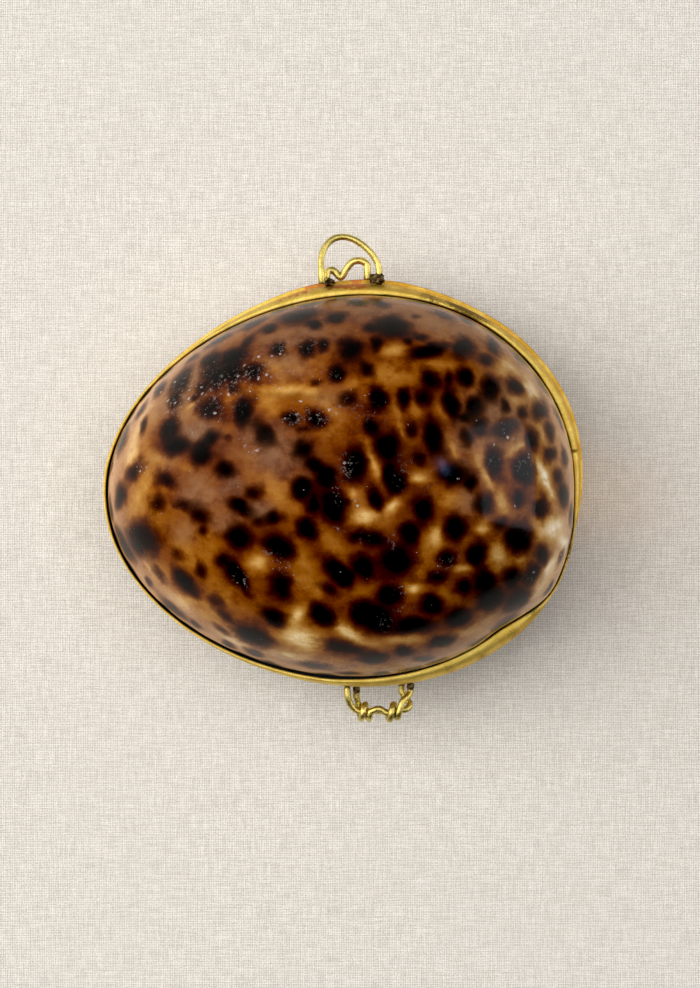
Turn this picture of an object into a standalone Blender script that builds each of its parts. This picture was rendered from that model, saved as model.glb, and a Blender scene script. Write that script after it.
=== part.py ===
"""Brass-mounted cowrie case.

A tiger cowrie sawn in two round its girth. Each half keeps its own brass collar, and the halves are
closed on each other: the spotted back above, the toothed base below. Wire fittings stand out from the
brass: a bail and a catch wire on one side, two link wires wrapped on each other on the other.

Metres, +Z up. +X points to the shell's fat end and +Y to the bail. The origin is at the bottom centre
of the whole case's box.
"""
import math
from collections import namedtuple

import bmesh
import bpy
from mathutils import Vector

MM = 0.001
TAU = 2 * math.pi

# Driving dimensions
GAP = 0.3 * MM                   # clearance between neighbouring pieces
SPLIT_HEIGHT = 15.0 * MM         # the plane where the two halves meet
DOME_HEIGHT = 28.0 * MM          # top of the shell above the split plane
AXIS_LEAN = math.radians(3)      # the long axis leans up towards the bail at the fat end
SHELL_WALL = 2.2 * MM
BRASS_SHEET = 0.35 * MM
COLLAR_HEIGHT = 3.4 * MM
SEAM_ANGLE = math.radians(9)     # where the upper collar's ends butt together
SEAM_GAP = 0.3 * MM
WIRE_RADIUS = 0.475 * MM
WIRE_PASS = 1.15 * MM            # between the middles of two wires that cross or wrap

Outline = namedtuple("Outline", "half_length half_width taper centre_x centre_y")
BULGE = 0.9 * MM                 # the shell swells a little at one side of its fat end
BULGE_ANGLE = math.radians(-25)
BULGE_SPREAD = math.radians(16)
SHELL = Outline(38.75 * MM, 31.55 * MM, 0.085, -0.64 * MM, -0.30 * MM)
UPPER_RIM = Outline(39.70 * MM, 33.30 * MM, 0.110, -0.40 * MM, -0.30 * MM)
LOWER_RIM = Outline(39.70 * MM, 33.55 * MM, 0.110, 0.00 * MM, 0.20 * MM)

# The shell's two halves: superellipse power of the profile, and how far the top leans to the fat end
DOME_POWER = 2.2
BASE_POWER = 2.6
DOME_LEAN = 2.5 * MM
BASE_WORN_FLAT = 0.5 * MM        # rubbed off the belly where the shell rests
BASE_WALL = 3.0 * MM
LIP_RISE = 2.0 * MM              # the wall is this much thicker beside the aperture

# The aperture: half length, widths at its two ends and the sideways bow of its middle
APERTURE_HALF = 30.5 * MM
APERTURE_WIDE = 6.0 * MM
APERTURE_NARROW = 4.2 * MM
APERTURE_BOW = 2.4 * MM

# Eyelets: short tubes that stand out from the brass
EYELET_RADIUS = 1.05 * MM
EYELET_BORE = 0.75 * MM


def clear_scene():
    for obj in list(bpy.data.objects):
        bpy.data.objects.remove(obj)


def new_collection(name):
    collection = bpy.data.collections.new(name)
    bpy.context.scene.collection.children.link(collection)
    return collection


def make_material(name, colour, roughness, metallic):
    material = bpy.data.materials.new(name)
    material.use_nodes = True
    shader = material.node_tree.nodes["Principled BSDF"]
    shader.inputs["Base Color"].default_value = (*colour, 1)
    shader.inputs["Roughness"].default_value = roughness
    shader.inputs["Metallic"].default_value = metallic
    return material


def add_object(name, data, collection, material, root):
    obj = bpy.data.objects.new(name, data)
    if material:
        data.materials.append(material)
    collection.objects.link(obj)
    obj.parent = root
    return obj


def make_cutter(obj):
    obj.hide_render = True
    obj.display_type = "WIRE"


def cut_away(obj, cutter):
    modifier = obj.modifiers.new("cut " + cutter.name, "BOOLEAN")
    modifier.operation = "DIFFERENCE"
    modifier.object = cutter


# ---- outlines ---------------------------------------------------------------------------------

def outline_point(outline, angle):
    """A point of the egg outline in plan. Angle 0 is the fat end, a quarter turn is the bail side."""
    along = outline.half_length * math.cos(angle)
    across = outline.half_width * math.sin(angle) * (1 + outline.taper * math.cos(angle))
    cos, sin = math.cos(AXIS_LEAN), math.sin(AXIS_LEAN)
    return Vector((outline.centre_x + cos * along - sin * across,
                   outline.centre_y + sin * along + cos * across))


def shell_point(angle):
    """The girth of the shell itself: its egg, and the bulge beside the fat end."""
    away = (angle - BULGE_ANGLE + math.pi) % TAU - math.pi
    swell = BULGE * math.exp(-(away / BULGE_SPREAD) ** 2)
    return outline_point(SHELL, angle) + outline_normal(SHELL, angle) * swell


def outline_normal(outline, angle):
    step = math.radians(1)
    tangent = outline_point(outline, angle + step) - outline_point(outline, angle - step)
    return Vector((tangent.y, -tangent.x)).normalized()


# ---- shell ------------------------------------------------------------------------------------

def swell_sphere(bm, height, power, lean, inset=0.0):
    """Turns a unit sphere into the cowrie's rounded form."""
    centre = Vector((SHELL.centre_x, SHELL.centre_y))
    for vert in bm.verts:
        level = max(-1.0, min(1.0, vert.co.z))
        spread = math.sqrt(max(0.0, 1 - level * level)) ** (2 / power)
        rise = math.copysign(abs(level) ** (2 / power), level)
        angle = math.atan2(vert.co.y, vert.co.x)
        rim = shell_point(angle) - outline_normal(SHELL, angle) * inset
        place = centre + (rim - centre) * spread
        vert.co = Vector((place.x + lean * rise ** 2, place.y, (height - inset) * rise))


def half_sphere(segments, rings, side):
    """Half of a unit sphere, open at its equator. Side is 1 for the upper half and -1 for the lower."""
    bm = bmesh.new()
    bmesh.ops.create_uvsphere(bm, u_segments=segments, v_segments=2 * rings, radius=1)
    beyond = [vert for vert in bm.verts if vert.co.z * side < -0.01]
    bmesh.ops.delete(bm, geom=beyond, context="VERTS")
    return bm


def make_upper_shell(parts, material, root):
    """The cowrie's back: an open dome given its wall by Solidify."""
    bm = half_sphere(52, 11, 1)
    foot = GAP / 2 + BRASS_SHEET + GAP
    swell_sphere(bm, DOME_HEIGHT - foot, DOME_POWER, DOME_LEAN)
    mesh = bpy.data.meshes.new("upper_shell")
    bm.to_mesh(mesh)
    bm.free()
    mesh.shade_smooth()
    shell = add_object("upper_shell", mesh, parts, material, root)
    shell.location.z = SPLIT_HEIGHT + foot
    wall = shell.modifiers.new("wall", "SOLIDIFY")
    wall.thickness = SHELL_WALL
    wall.offset = -1
    return shell


def aperture_middle(x):
    return SHELL.centre_y - APERTURE_BOW * math.cos(math.pi / 2 * x / APERTURE_HALF)


def aperture_width(x):
    share = (x / APERTURE_HALF + 1) / 2
    return APERTURE_WIDE + (APERTURE_NARROW - APERTURE_WIDE) * share ** 0.6


def make_aperture_cutter(cutters, root):
    """The aperture: a bowed slot, wider at the narrow end of the shell, through the whole base."""
    bm = bmesh.new()
    bmesh.ops.create_grid(bm, x_segments=20, y_segments=1, size=1)
    for vert in bm.verts:
        x = vert.co.x * APERTURE_HALF
        width = aperture_width(x)
        vert.co = Vector((x, aperture_middle(x) + vert.co.y * width / 2, -4 * MM))
    lifted = bmesh.ops.extrude_face_region(bm, geom=bm.faces[:])
    top = [item for item in lifted["geom"] if isinstance(item, bmesh.types.BMVert)]
    bmesh.ops.translate(bm, verts=top, vec=(0, 0, SPLIT_HEIGHT))
    bmesh.ops.recalc_face_normals(bm, faces=bm.faces[:])
    mesh = bpy.data.meshes.new("aperture_slot")
    bm.to_mesh(mesh)
    bm.free()
    cutter = add_object("aperture_slot", mesh, cutters, None, root)
    make_cutter(cutter)
    return cutter


def make_inside_cutter(cutters, depth, root):
    """The hollow of the base: it rises beside the aperture, where the lips roll in."""
    bm = bmesh.new()
    bmesh.ops.create_uvsphere(bm, u_segments=44, v_segments=22, radius=1)
    swell_sphere(bm, depth, BASE_POWER, 0, inset=BASE_WALL)
    for vert in bm.verts:
        if vert.co.z < 0:
            off_lip = (vert.co.y - aperture_middle(vert.co.x)) / (9 * MM)
            vert.co.z += LIP_RISE * math.exp(-off_lip ** 2) * min(1, -vert.co.z / (8 * MM))
    mesh = bpy.data.meshes.new("base_hollow")
    bm.to_mesh(mesh)
    bm.free()
    cutter = add_object("base_hollow", mesh, cutters, None, root)
    make_cutter(cutter)
    return cutter


def make_lower_shell(parts, cutters, material, root):
    """The cowrie's base: a solid half, hollowed out and slotted along its aperture."""
    foot = GAP / 2 + BRASS_SHEET + GAP
    depth = SPLIT_HEIGHT + BASE_WORN_FLAT - foot
    bm = half_sphere(52, 11, -1)
    bmesh.ops.holes_fill(bm, edges=[edge for edge in bm.edges if edge.is_boundary])
    swell_sphere(bm, depth, BASE_POWER, 0)
    for vert in bm.verts:
        vert.co.z = max(vert.co.z, BASE_WORN_FLAT - depth)
    bmesh.ops.recalc_face_normals(bm, faces=bm.faces[:])
    mesh = bpy.data.meshes.new("lower_shell")
    bm.to_mesh(mesh)
    bm.free()
    shell = add_object("lower_shell", mesh, parts, material, root)
    shell.location.z = SPLIT_HEIGHT - foot
    hollow = make_inside_cutter(cutters, depth, root)
    hollow.location.z = shell.location.z
    cut_away(shell, hollow)
    cut_away(shell, make_aperture_cutter(cutters, root))
    return shell


# ---- brass collars ----------------------------------------------------------------------------

def collar_section(rim, angle):
    """The bent strip in section: a leaning wall, and a flange that the sawn edge of the shell sits on.

    Pairs of (place in plan, height above the strip's foot), once round the section.
    """
    shell = shell_point(angle)
    normal = outline_normal(SHELL, angle)
    stand_off = max((outline_point(rim, angle) - shell).dot(normal), GAP + BRASS_SHEET)
    foot = shell + normal * stand_off
    top_inner = shell + normal * GAP
    flange_end = shell - normal * (SHELL_WALL + GAP)
    return [(foot, 0),
            (top_inner + normal * BRASS_SHEET, COLLAR_HEIGHT),
            (top_inner, COLLAR_HEIGHT),
            (foot - normal * BRASS_SHEET, BRASS_SHEET),
            (flange_end, BRASS_SHEET),
            (flange_end, 0)]


def make_collar(name, rim, up, angles, closed, parts, material, root):
    """Lofts the strip's section round the rim. Up is 1 for the upper collar and -1 for the lower."""
    bm = bmesh.new()
    loops = []
    for angle in angles:
        section = collar_section(rim, angle)
        loops.append([bm.verts.new((place.x, place.y, up * (GAP / 2 + height)))
                      for place, height in section])
    pairs = list(zip(loops, loops[1:]))
    if closed:
        pairs.append((loops[-1], loops[0]))
    else:
        bm.faces.new(loops[0])
        bm.faces.new(loops[-1])
    for near, far in pairs:
        for k in range(len(near)):
            nxt = (k + 1) % len(near)
            bm.faces.new((near[k], near[nxt], far[nxt], far[k]))
    bmesh.ops.recalc_face_normals(bm, faces=bm.faces[:])
    mesh = bpy.data.meshes.new(name)
    bm.to_mesh(mesh)
    bm.free()
    collar = add_object(name, mesh, parts, material, root)
    collar.location.z = SPLIT_HEIGHT
    return collar


def make_collars(parts, material, root):
    sections = 84
    open_half = SEAM_GAP / 2 / UPPER_RIM.half_length
    start = SEAM_ANGLE + open_half
    sweep = TAU - 2 * open_half
    seam_angles = [start + sweep * k / sections for k in range(sections + 1)]
    whole_angles = [TAU * k / sections for k in range(sections)]
    make_collar("upper_collar", UPPER_RIM, 1, seam_angles, False, parts, material, root)
    make_collar("lower_collar", LOWER_RIM, -1, whole_angles, True, parts, material, root)


# ---- eyelets ----------------------------------------------------------------------------------

def make_eyelet(name, x, y_from, y_to, z, parts, material, root):
    """A short tube with its bore along Y: a rectangle turned by Screw."""
    length = y_to - y_from
    bm = bmesh.new()
    corners = [(EYELET_RADIUS, length), (EYELET_RADIUS, 0), (EYELET_BORE, 0), (EYELET_BORE, length)]
    verts = [bm.verts.new((radius, 0, along)) for radius, along in corners]
    for k, vert in enumerate(verts):
        bm.edges.new((vert, verts[(k + 1) % len(verts)]))
    mesh = bpy.data.meshes.new(name)
    bm.to_mesh(mesh)
    bm.free()
    tube = add_object(name, mesh, parts, material, root)
    turn = tube.modifiers.new("turn", "SCREW")
    turn.axis = "Z"
    turn.steps = 16
    turn.render_steps = 16
    turn.use_merge_vertices = True
    turn.merge_threshold = 0.00001
    tube.rotation_euler = (-math.pi / 2, 0, 0)
    tube.location = (x, y_from, SPLIT_HEIGHT + z)
    return tube


# ---- wires ------------------------------------------------------------------------------------

def smooth_route(points, steps):
    """Points of a smooth curve through the route's own points."""
    ends = [2 * points[0] - points[1]] + points + [2 * points[-1] - points[-2]]
    route = []
    for before, start, end, after in zip(ends, ends[1:], ends[2:], ends[3:]):
        for k in range(steps):
            t = k / steps
            route.append(0.5 * (2 * start + (end - before) * t
                                + (2 * before - 5 * start + 4 * end - after) * t ** 2
                                + (3 * start - before - 3 * end + after) * t ** 3))
    return route + [points[-1]]


def wrap_points(start, end, first_turn, last_turn, count):
    """Places on a helix round the line from start to end. A turn of 0 is above in plan, 0.25 in front."""
    places = []
    for k in range(count + 1):
        share = k / count
        turn = TAU * (first_turn + (last_turn - first_turn) * share)
        middle = start.lerp(end, share)
        places.append(middle + Vector((0, math.cos(turn), math.sin(turn))) * WIRE_PASS)
    return places


def make_wire(name, route, steps, parts, material, root):
    curve = bpy.data.curves.new(name, "CURVE")
    curve.dimensions = "3D"
    curve.bevel_depth = WIRE_RADIUS
    curve.bevel_resolution = 2
    curve.use_fill_caps = True
    places = smooth_route(route, steps)
    spline = curve.splines.new("POLY")
    spline.points.add(len(places) - 1)
    for point, place in zip(spline.points, places):
        point.co = (*place, 1)
    wire = add_object(name, curve, parts, material, root)
    wire.location.z = SPLIT_HEIGHT
    return wire


def millimetres(*places):
    return [Vector(place) * MM for place in places]


def make_top_fittings(parts, brass, dark, root):
    """The bail, the catch wire inside it, and the two eyelets that they end in."""
    make_eyelet("eyelet_top_left", -3.0 * MM, 33.0 * MM, 34.6 * MM, 1.9 * MM, parts, dark, root)
    make_eyelet("eyelet_top_right", 5.5 * MM, 33.3 * MM, 35.1 * MM, 1.7 * MM, parts, dark, root)
    bail = millimetres((-3.9, 33.9, 3.75), (-4.05, 35.6, 3.75), (-3.95, 37.8, 3.3), (-3.1, 39.8, 2.8),
                       (-1.6, 41.0, 2.4), (0.4, 41.15, 2.1), (2.5, 40.2, 1.9), (4.4, 38.5, 1.8),
                       (5.45, 36.6, 1.7), (5.5, 34.2, 1.7))
    make_wire("bail", bail, 4, parts, brass, root)
    catch = millimetres((-3.0, 34.0, 1.9), (-3.0, 35.0, 1.8), (-2.5, 35.7, 1.7), (-1.7, 35.5, 1.6),
                        (-0.7, 34.55, 1.6), (0.2, 35.9, 1.7), (1.3, 37.1, 1.8), (2.5, 37.3, 1.8),
                        (3.45, 36.8, 1.8), (3.6, 35.9, 1.8), (3.6, 34.3, 1.8))
    make_wire("catch_wire", catch, 3, parts, brass, root)


def make_bottom_fittings(parts, brass, dark, root):
    """Two link wires, each wrapped on the other, and the eyelets that they end in."""
    make_eyelet("eyelet_bottom_left", 1.9 * MM, -35.25 * MM, -34.15 * MM, -1.3 * MM, parts, dark, root)
    make_eyelet("eyelet_bottom_right", 10.9 * MM, -34.55 * MM, -33.45 * MM, 0.3 * MM, parts, dark, root)
    left_knot = millimetres((4.3, -37.8, -0.6), (2.4, -37.8, -0.6))
    right_knot = millimetres((7.1, -38.0, 0.6), (9.0, -37.5, 0.6))

    left = millimetres((0.2, -34.3, 0.3), (0.5, -35.5, 0.2), (1.2, -37.0, -0.3)) + [left_knot[1]]
    left += [left_knot[0]] + millimetres((5.6, -37.7, -0.6))
    left += wrap_points(*right_knot, 0.75, -0.72, 12)
    left += millimetres((9.6, -35.9, 1.6), (10.4, -35.2, 0.8), (10.85, -34.6, 0.35), (10.9, -34.0, 0.3))
    make_wire("link_wire_left", left, 2, parts, brass, root)

    right = millimetres((9.4, -33.9, -0.8), (9.5, -34.7, -0.85), (10.3, -35.6, -0.8),
                        (10.8, -36.6, -0.2), (10.2, -37.4, 0.4)) + [right_knot[1], right_knot[0]]
    right += millimetres((5.7, -37.3, 0.6))
    right += wrap_points(*left_knot, 0.25, 1.75, 12)
    right += millimetres((2.15, -36.3, -1.6), (1.9, -35.5, -1.35), (1.9, -34.7, -1.3))
    make_wire("link_wire_right", right, 2, parts, brass, root)


# ---- assembly ---------------------------------------------------------------------------------

def centre_on_origin(parts, root):
    """Moves everything so that the origin is at the bottom centre of the whole case's box."""
    bpy.context.view_layer.update()
    depsgraph = bpy.context.evaluated_depsgraph_get()
    corners = []
    for obj in parts.objects:
        evaluated = obj.evaluated_get(depsgraph)
        mesh = evaluated.to_mesh()
        corners += [evaluated.matrix_world @ vert.co for vert in mesh.vertices]
        evaluated.to_mesh_clear()
    low = [min(corner[axis] for corner in corners) for axis in range(3)]
    high = [max(corner[axis] for corner in corners) for axis in range(3)]
    root.location = (-(low[0] + high[0]) / 2, -(low[1] + high[1]) / 2, -low[2])


def main():
    clear_scene()
    parts = new_collection("cowrie_case")
    cutters = new_collection("cutters")
    root = bpy.data.objects.new("case_origin", None)
    bpy.context.scene.collection.objects.link(root)
    amber = make_material("cowrie_back", (0.34, 0.16, 0.06), 0.15, 0.0)
    cream = make_material("cowrie_base", (0.72, 0.60, 0.45), 0.2, 0.0)
    brass = make_material("brass", (0.72, 0.52, 0.18), 0.35, 1.0)
    dark = make_material("blackened_brass", (0.07, 0.055, 0.035), 0.6, 0.6)
    make_upper_shell(parts, amber, root)
    make_lower_shell(parts, cutters, cream, root)
    make_collars(parts, brass, root)
    make_top_fittings(parts, brass, dark, root)
    make_bottom_fittings(parts, brass, dark, root)
    centre_on_origin(parts, root)


main()
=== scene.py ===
"""Looks of the brass-mounted cowrie case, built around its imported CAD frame.

Millimetres in the tables, metres in the meshes. Tables of places on the shell give them as they lie
when the case is looked at from straight above, in the case's own plan.
"""
import math
import random

import bmesh
import bpy
import numpy as np
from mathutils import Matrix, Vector, noise


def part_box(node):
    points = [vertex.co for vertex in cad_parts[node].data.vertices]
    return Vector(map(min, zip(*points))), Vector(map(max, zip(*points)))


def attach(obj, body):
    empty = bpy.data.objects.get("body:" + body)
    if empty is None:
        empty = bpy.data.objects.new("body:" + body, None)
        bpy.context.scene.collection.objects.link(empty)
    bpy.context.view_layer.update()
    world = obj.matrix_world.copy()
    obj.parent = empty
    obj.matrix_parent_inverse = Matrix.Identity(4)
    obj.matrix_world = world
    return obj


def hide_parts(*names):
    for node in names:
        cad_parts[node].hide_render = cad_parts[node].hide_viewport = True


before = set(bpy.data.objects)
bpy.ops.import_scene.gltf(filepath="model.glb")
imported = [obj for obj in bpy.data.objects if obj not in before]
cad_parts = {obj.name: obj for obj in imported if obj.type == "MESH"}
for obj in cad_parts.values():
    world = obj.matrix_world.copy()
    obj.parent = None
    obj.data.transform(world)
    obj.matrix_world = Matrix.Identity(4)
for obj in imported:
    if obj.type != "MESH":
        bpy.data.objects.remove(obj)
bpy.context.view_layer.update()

MM = 0.001
TAU = 2 * math.pi
random.seed(11)

# ---- the case's proportions, as in its CAD, in millimetres
GAP = 0.3
SPLIT = 15.0
DOME_HEIGHT = 28.0
AXIS_LEAN = math.radians(3)
SHELL_WALL = 2.2
BRASS_SHEET = 0.35
COLLAR_HEIGHT = 3.4
RIPPLE_ROOM = 0.12               # left over the lower collar's wavy lip
EDGE_RADIUS = 0.13               # of the collars' edges
SEAM_ANGLE = math.radians(6.4)   # where the upper collar's ends meet
SEAM_OPEN = 0.32
WIRE_LOOK = 0.55                 # radius of the wires
CATCH_LOOK = 0.61                # radius of the catch wire
WIRE_SIDES = 20
WIRE_PASS = 1.15                 # how far a wrapped wire's middle runs from the other's
FOOT = GAP / 2 + BRASS_SHEET + GAP   # height from the split to a shell's cut edge
# Swellings of the girth beside its fat end: millimetres, direction and spread in degrees
BULGES = [(1.5, -33, 9), (0.75, -20, 9), (-0.4, -50, 6)]
# half length, half width, taper, centre x, centre y
SHELL = (38.75, 31.55, 0.085, -0.64, -0.30)
UPPER_RIM = (39.70, 33.30, 0.110, -0.40, -0.30)
LOWER_RIM = (39.70, 33.55, 0.110, 0.00, 0.20)
DOME_POWER = 2.2                 # 2 is an ellipse, more is fuller
BASE_POWER = 2.6
DOME_LEAN = 2.5                  # how far the top lies towards the fat end
BASE_WORN_FLAT = 0.5
BASE_WALL = 3.0
APERTURE_HALF = 30.5
APERTURE_WIDE = 6.0
APERTURE_NARROW = 4.2
APERTURE_BOW = 2.4


def outline_points(outline, angles):
    """Points of an egg outline in plan, one row for each angle."""
    half_length, half_width, taper, x, y = outline
    along = half_length * np.cos(angles)
    across = half_width * np.sin(angles) * (1 + taper * np.cos(angles))
    cos, sin = math.cos(AXIS_LEAN), math.sin(AXIS_LEAN)
    return np.stack([x + cos * along - sin * across, y + sin * along + cos * across], -1)


def outline_normals(outline, angles):
    """Unit vectors that point out of an egg outline."""
    step = math.radians(1)
    tangent = outline_points(outline, angles + step) - outline_points(outline, angles - step)
    normal = np.stack([tangent[..., 1], -tangent[..., 0]], -1)
    return normal / np.linalg.norm(normal, axis=-1, keepdims=True)


def shell_points(angles):
    """The shell's girth: its egg, and the bulge beside its fat end."""
    swell = np.zeros_like(angles)
    for amount, centre, spread in BULGES:
        away = (angles - math.radians(centre) + math.pi) % TAU - math.pi
        swell += amount * np.exp(-(away / math.radians(spread)) ** 2)
    return outline_points(SHELL, angles) + outline_normals(SHELL, angles) * swell[..., None]


# The CAD's origin is at the middle of the whole case, so the plan is moved by the same amount here
girth = shell_points(np.linspace(0, TAU, 721))
box_low, box_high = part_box("lower_shell")
SHIFT = np.array([(box_low.x + box_high.x) / 2, (box_low.y + box_high.y) / 2]) / MM
SHIFT -= (girth.min(0) + girth.max(0)) / 2


def to_row(points):
    """Plan millimetres and height to metres in the row frame."""
    moved = np.array(points, float)
    moved[..., 0] += SHIFT[0]
    moved[..., 1] += SHIFT[1]
    return moved * MM


# ---- meshes

def new_object(name, data):
    """An object in the scene with that mesh, light or camera."""
    obj = bpy.data.objects.new(name, data)
    bpy.context.scene.collection.objects.link(obj)
    return obj


def new_piece(name, verts, faces, nodes, material):
    """A smooth piece in the row frame that stands for CAD nodes."""
    mesh = bpy.data.meshes.new(name)
    mesh.from_pydata([tuple(v) for v in verts], [], faces)
    mesh.validate()
    mesh.shade_smooth()
    mesh.materials.append(material)
    obj = new_object(name, mesh)
    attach(obj, "root")
    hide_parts(*nodes)
    return obj


def set_attribute(obj, name, values):
    attribute = obj.data.attributes.new(name, "FLOAT", "POINT")
    attribute.data.foreach_set("value", np.asarray(values, np.float32))


def smooth_noise(points, size, seed):
    """Noise from -1 to 1 at each point, with features of about that size in millimetres."""
    offset = Vector((seed * 17.3, seed * 5.1, seed * 9.7))
    return np.array([noise.noise(Vector(p) / size + offset) for p in points.tolist()])


def shake(points, size, seed):
    """Three noises for each point, one along each axis."""
    return np.stack([smooth_noise(points, size, seed + k) for k in range(3)], -1)


def ease(values, low, high):
    """0 to 1, with soft ends, as the values go from low to high."""
    share = np.clip((values - low) / (high - low), 0, 1)
    return share * share * (3 - 2 * share)


def disc_grid(steps):
    """A square grid laid over a disc: distance from its middle and angle for each place."""
    line = np.linspace(-1, 1, steps + 1)
    u, v = np.meshgrid(line, line, indexing="ij")
    wide = np.abs(u) > np.abs(v)
    safe_u = np.where(wide, u, 1)
    safe_v = np.where(wide | (v == 0), 1, v)
    radius = np.where(wide, u, v)
    angle = np.where(wide, math.pi / 4 * v / safe_u, math.pi / 2 - math.pi / 4 * u / safe_v)
    angle = np.where(radius < 0, angle + math.pi, angle)
    return np.abs(radius), angle % TAU


def grid_faces(steps, start, flip):
    """Quads of a square grid whose first vertex is number start."""
    rows = np.arange(steps)[:, None] * (steps + 1) + np.arange(steps)[None, :] + start
    quads = np.stack([rows, rows + steps + 1, rows + steps + 2, rows + 1], -1).reshape(-1, 4)
    return (quads[:, ::-1] if flip else quads).tolist()


def grid_rim(steps, start):
    """The grid's outer edge as a ring of vertex numbers."""
    side = steps + 1
    ring = [i * side for i in range(steps)]
    ring += [steps * side + j for j in range(steps)]
    ring += [i * side + steps for i in range(steps, 0, -1)]
    ring += list(range(steps, 0, -1))
    return [start + k for k in ring]


def ring_faces(rings, sides, closed=False):
    """Quads from each ring of points to the next, and from the last to the first if it closes."""
    here = np.arange(sides)
    ahead = np.roll(here, -1)
    faces = []
    for k in range(rings if closed else rings - 1):
        low, high = k * sides, (k + 1) % rings * sides
        faces += np.stack([here + low, ahead + low, ahead + high, here + high], -1).tolist()
    return faces


def dome_points(radius, angle, inset=0.0):
    """The back's rounded form over its cut edge: a superellipse over the girth that leans a little."""
    rim = shell_points(angle) - outline_normals(SHELL, angle) * inset
    turn = radius * math.pi / 2
    spread = np.sin(turn) ** (2 / DOME_POWER)
    rise = np.clip(np.cos(turn), 0, 1) ** (2 / DOME_POWER)
    centre = np.array(SHELL[3:])
    plan = centre + (rim - centre) * spread[..., None]
    return np.stack([plan[..., 0] + DOME_LEAN * rise ** 2, plan[..., 1],
                     (DOME_HEIGHT - FOOT - inset) * rise], -1)


# ---- how the shell is seen from above
EYE = (0.835, -1.498)            # plan place straight under the eye, millimetres
EYE_HEIGHT = 650.0               # above the split


def seen(points):
    """Plan places as they look from above, on the level of the split."""
    eye = np.array(EYE)
    scale = EYE_HEIGHT / (EYE_HEIGHT - (points[:, 2:3] - SPLIT))
    return eye + (points[:, :2] - eye) * scale


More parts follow.
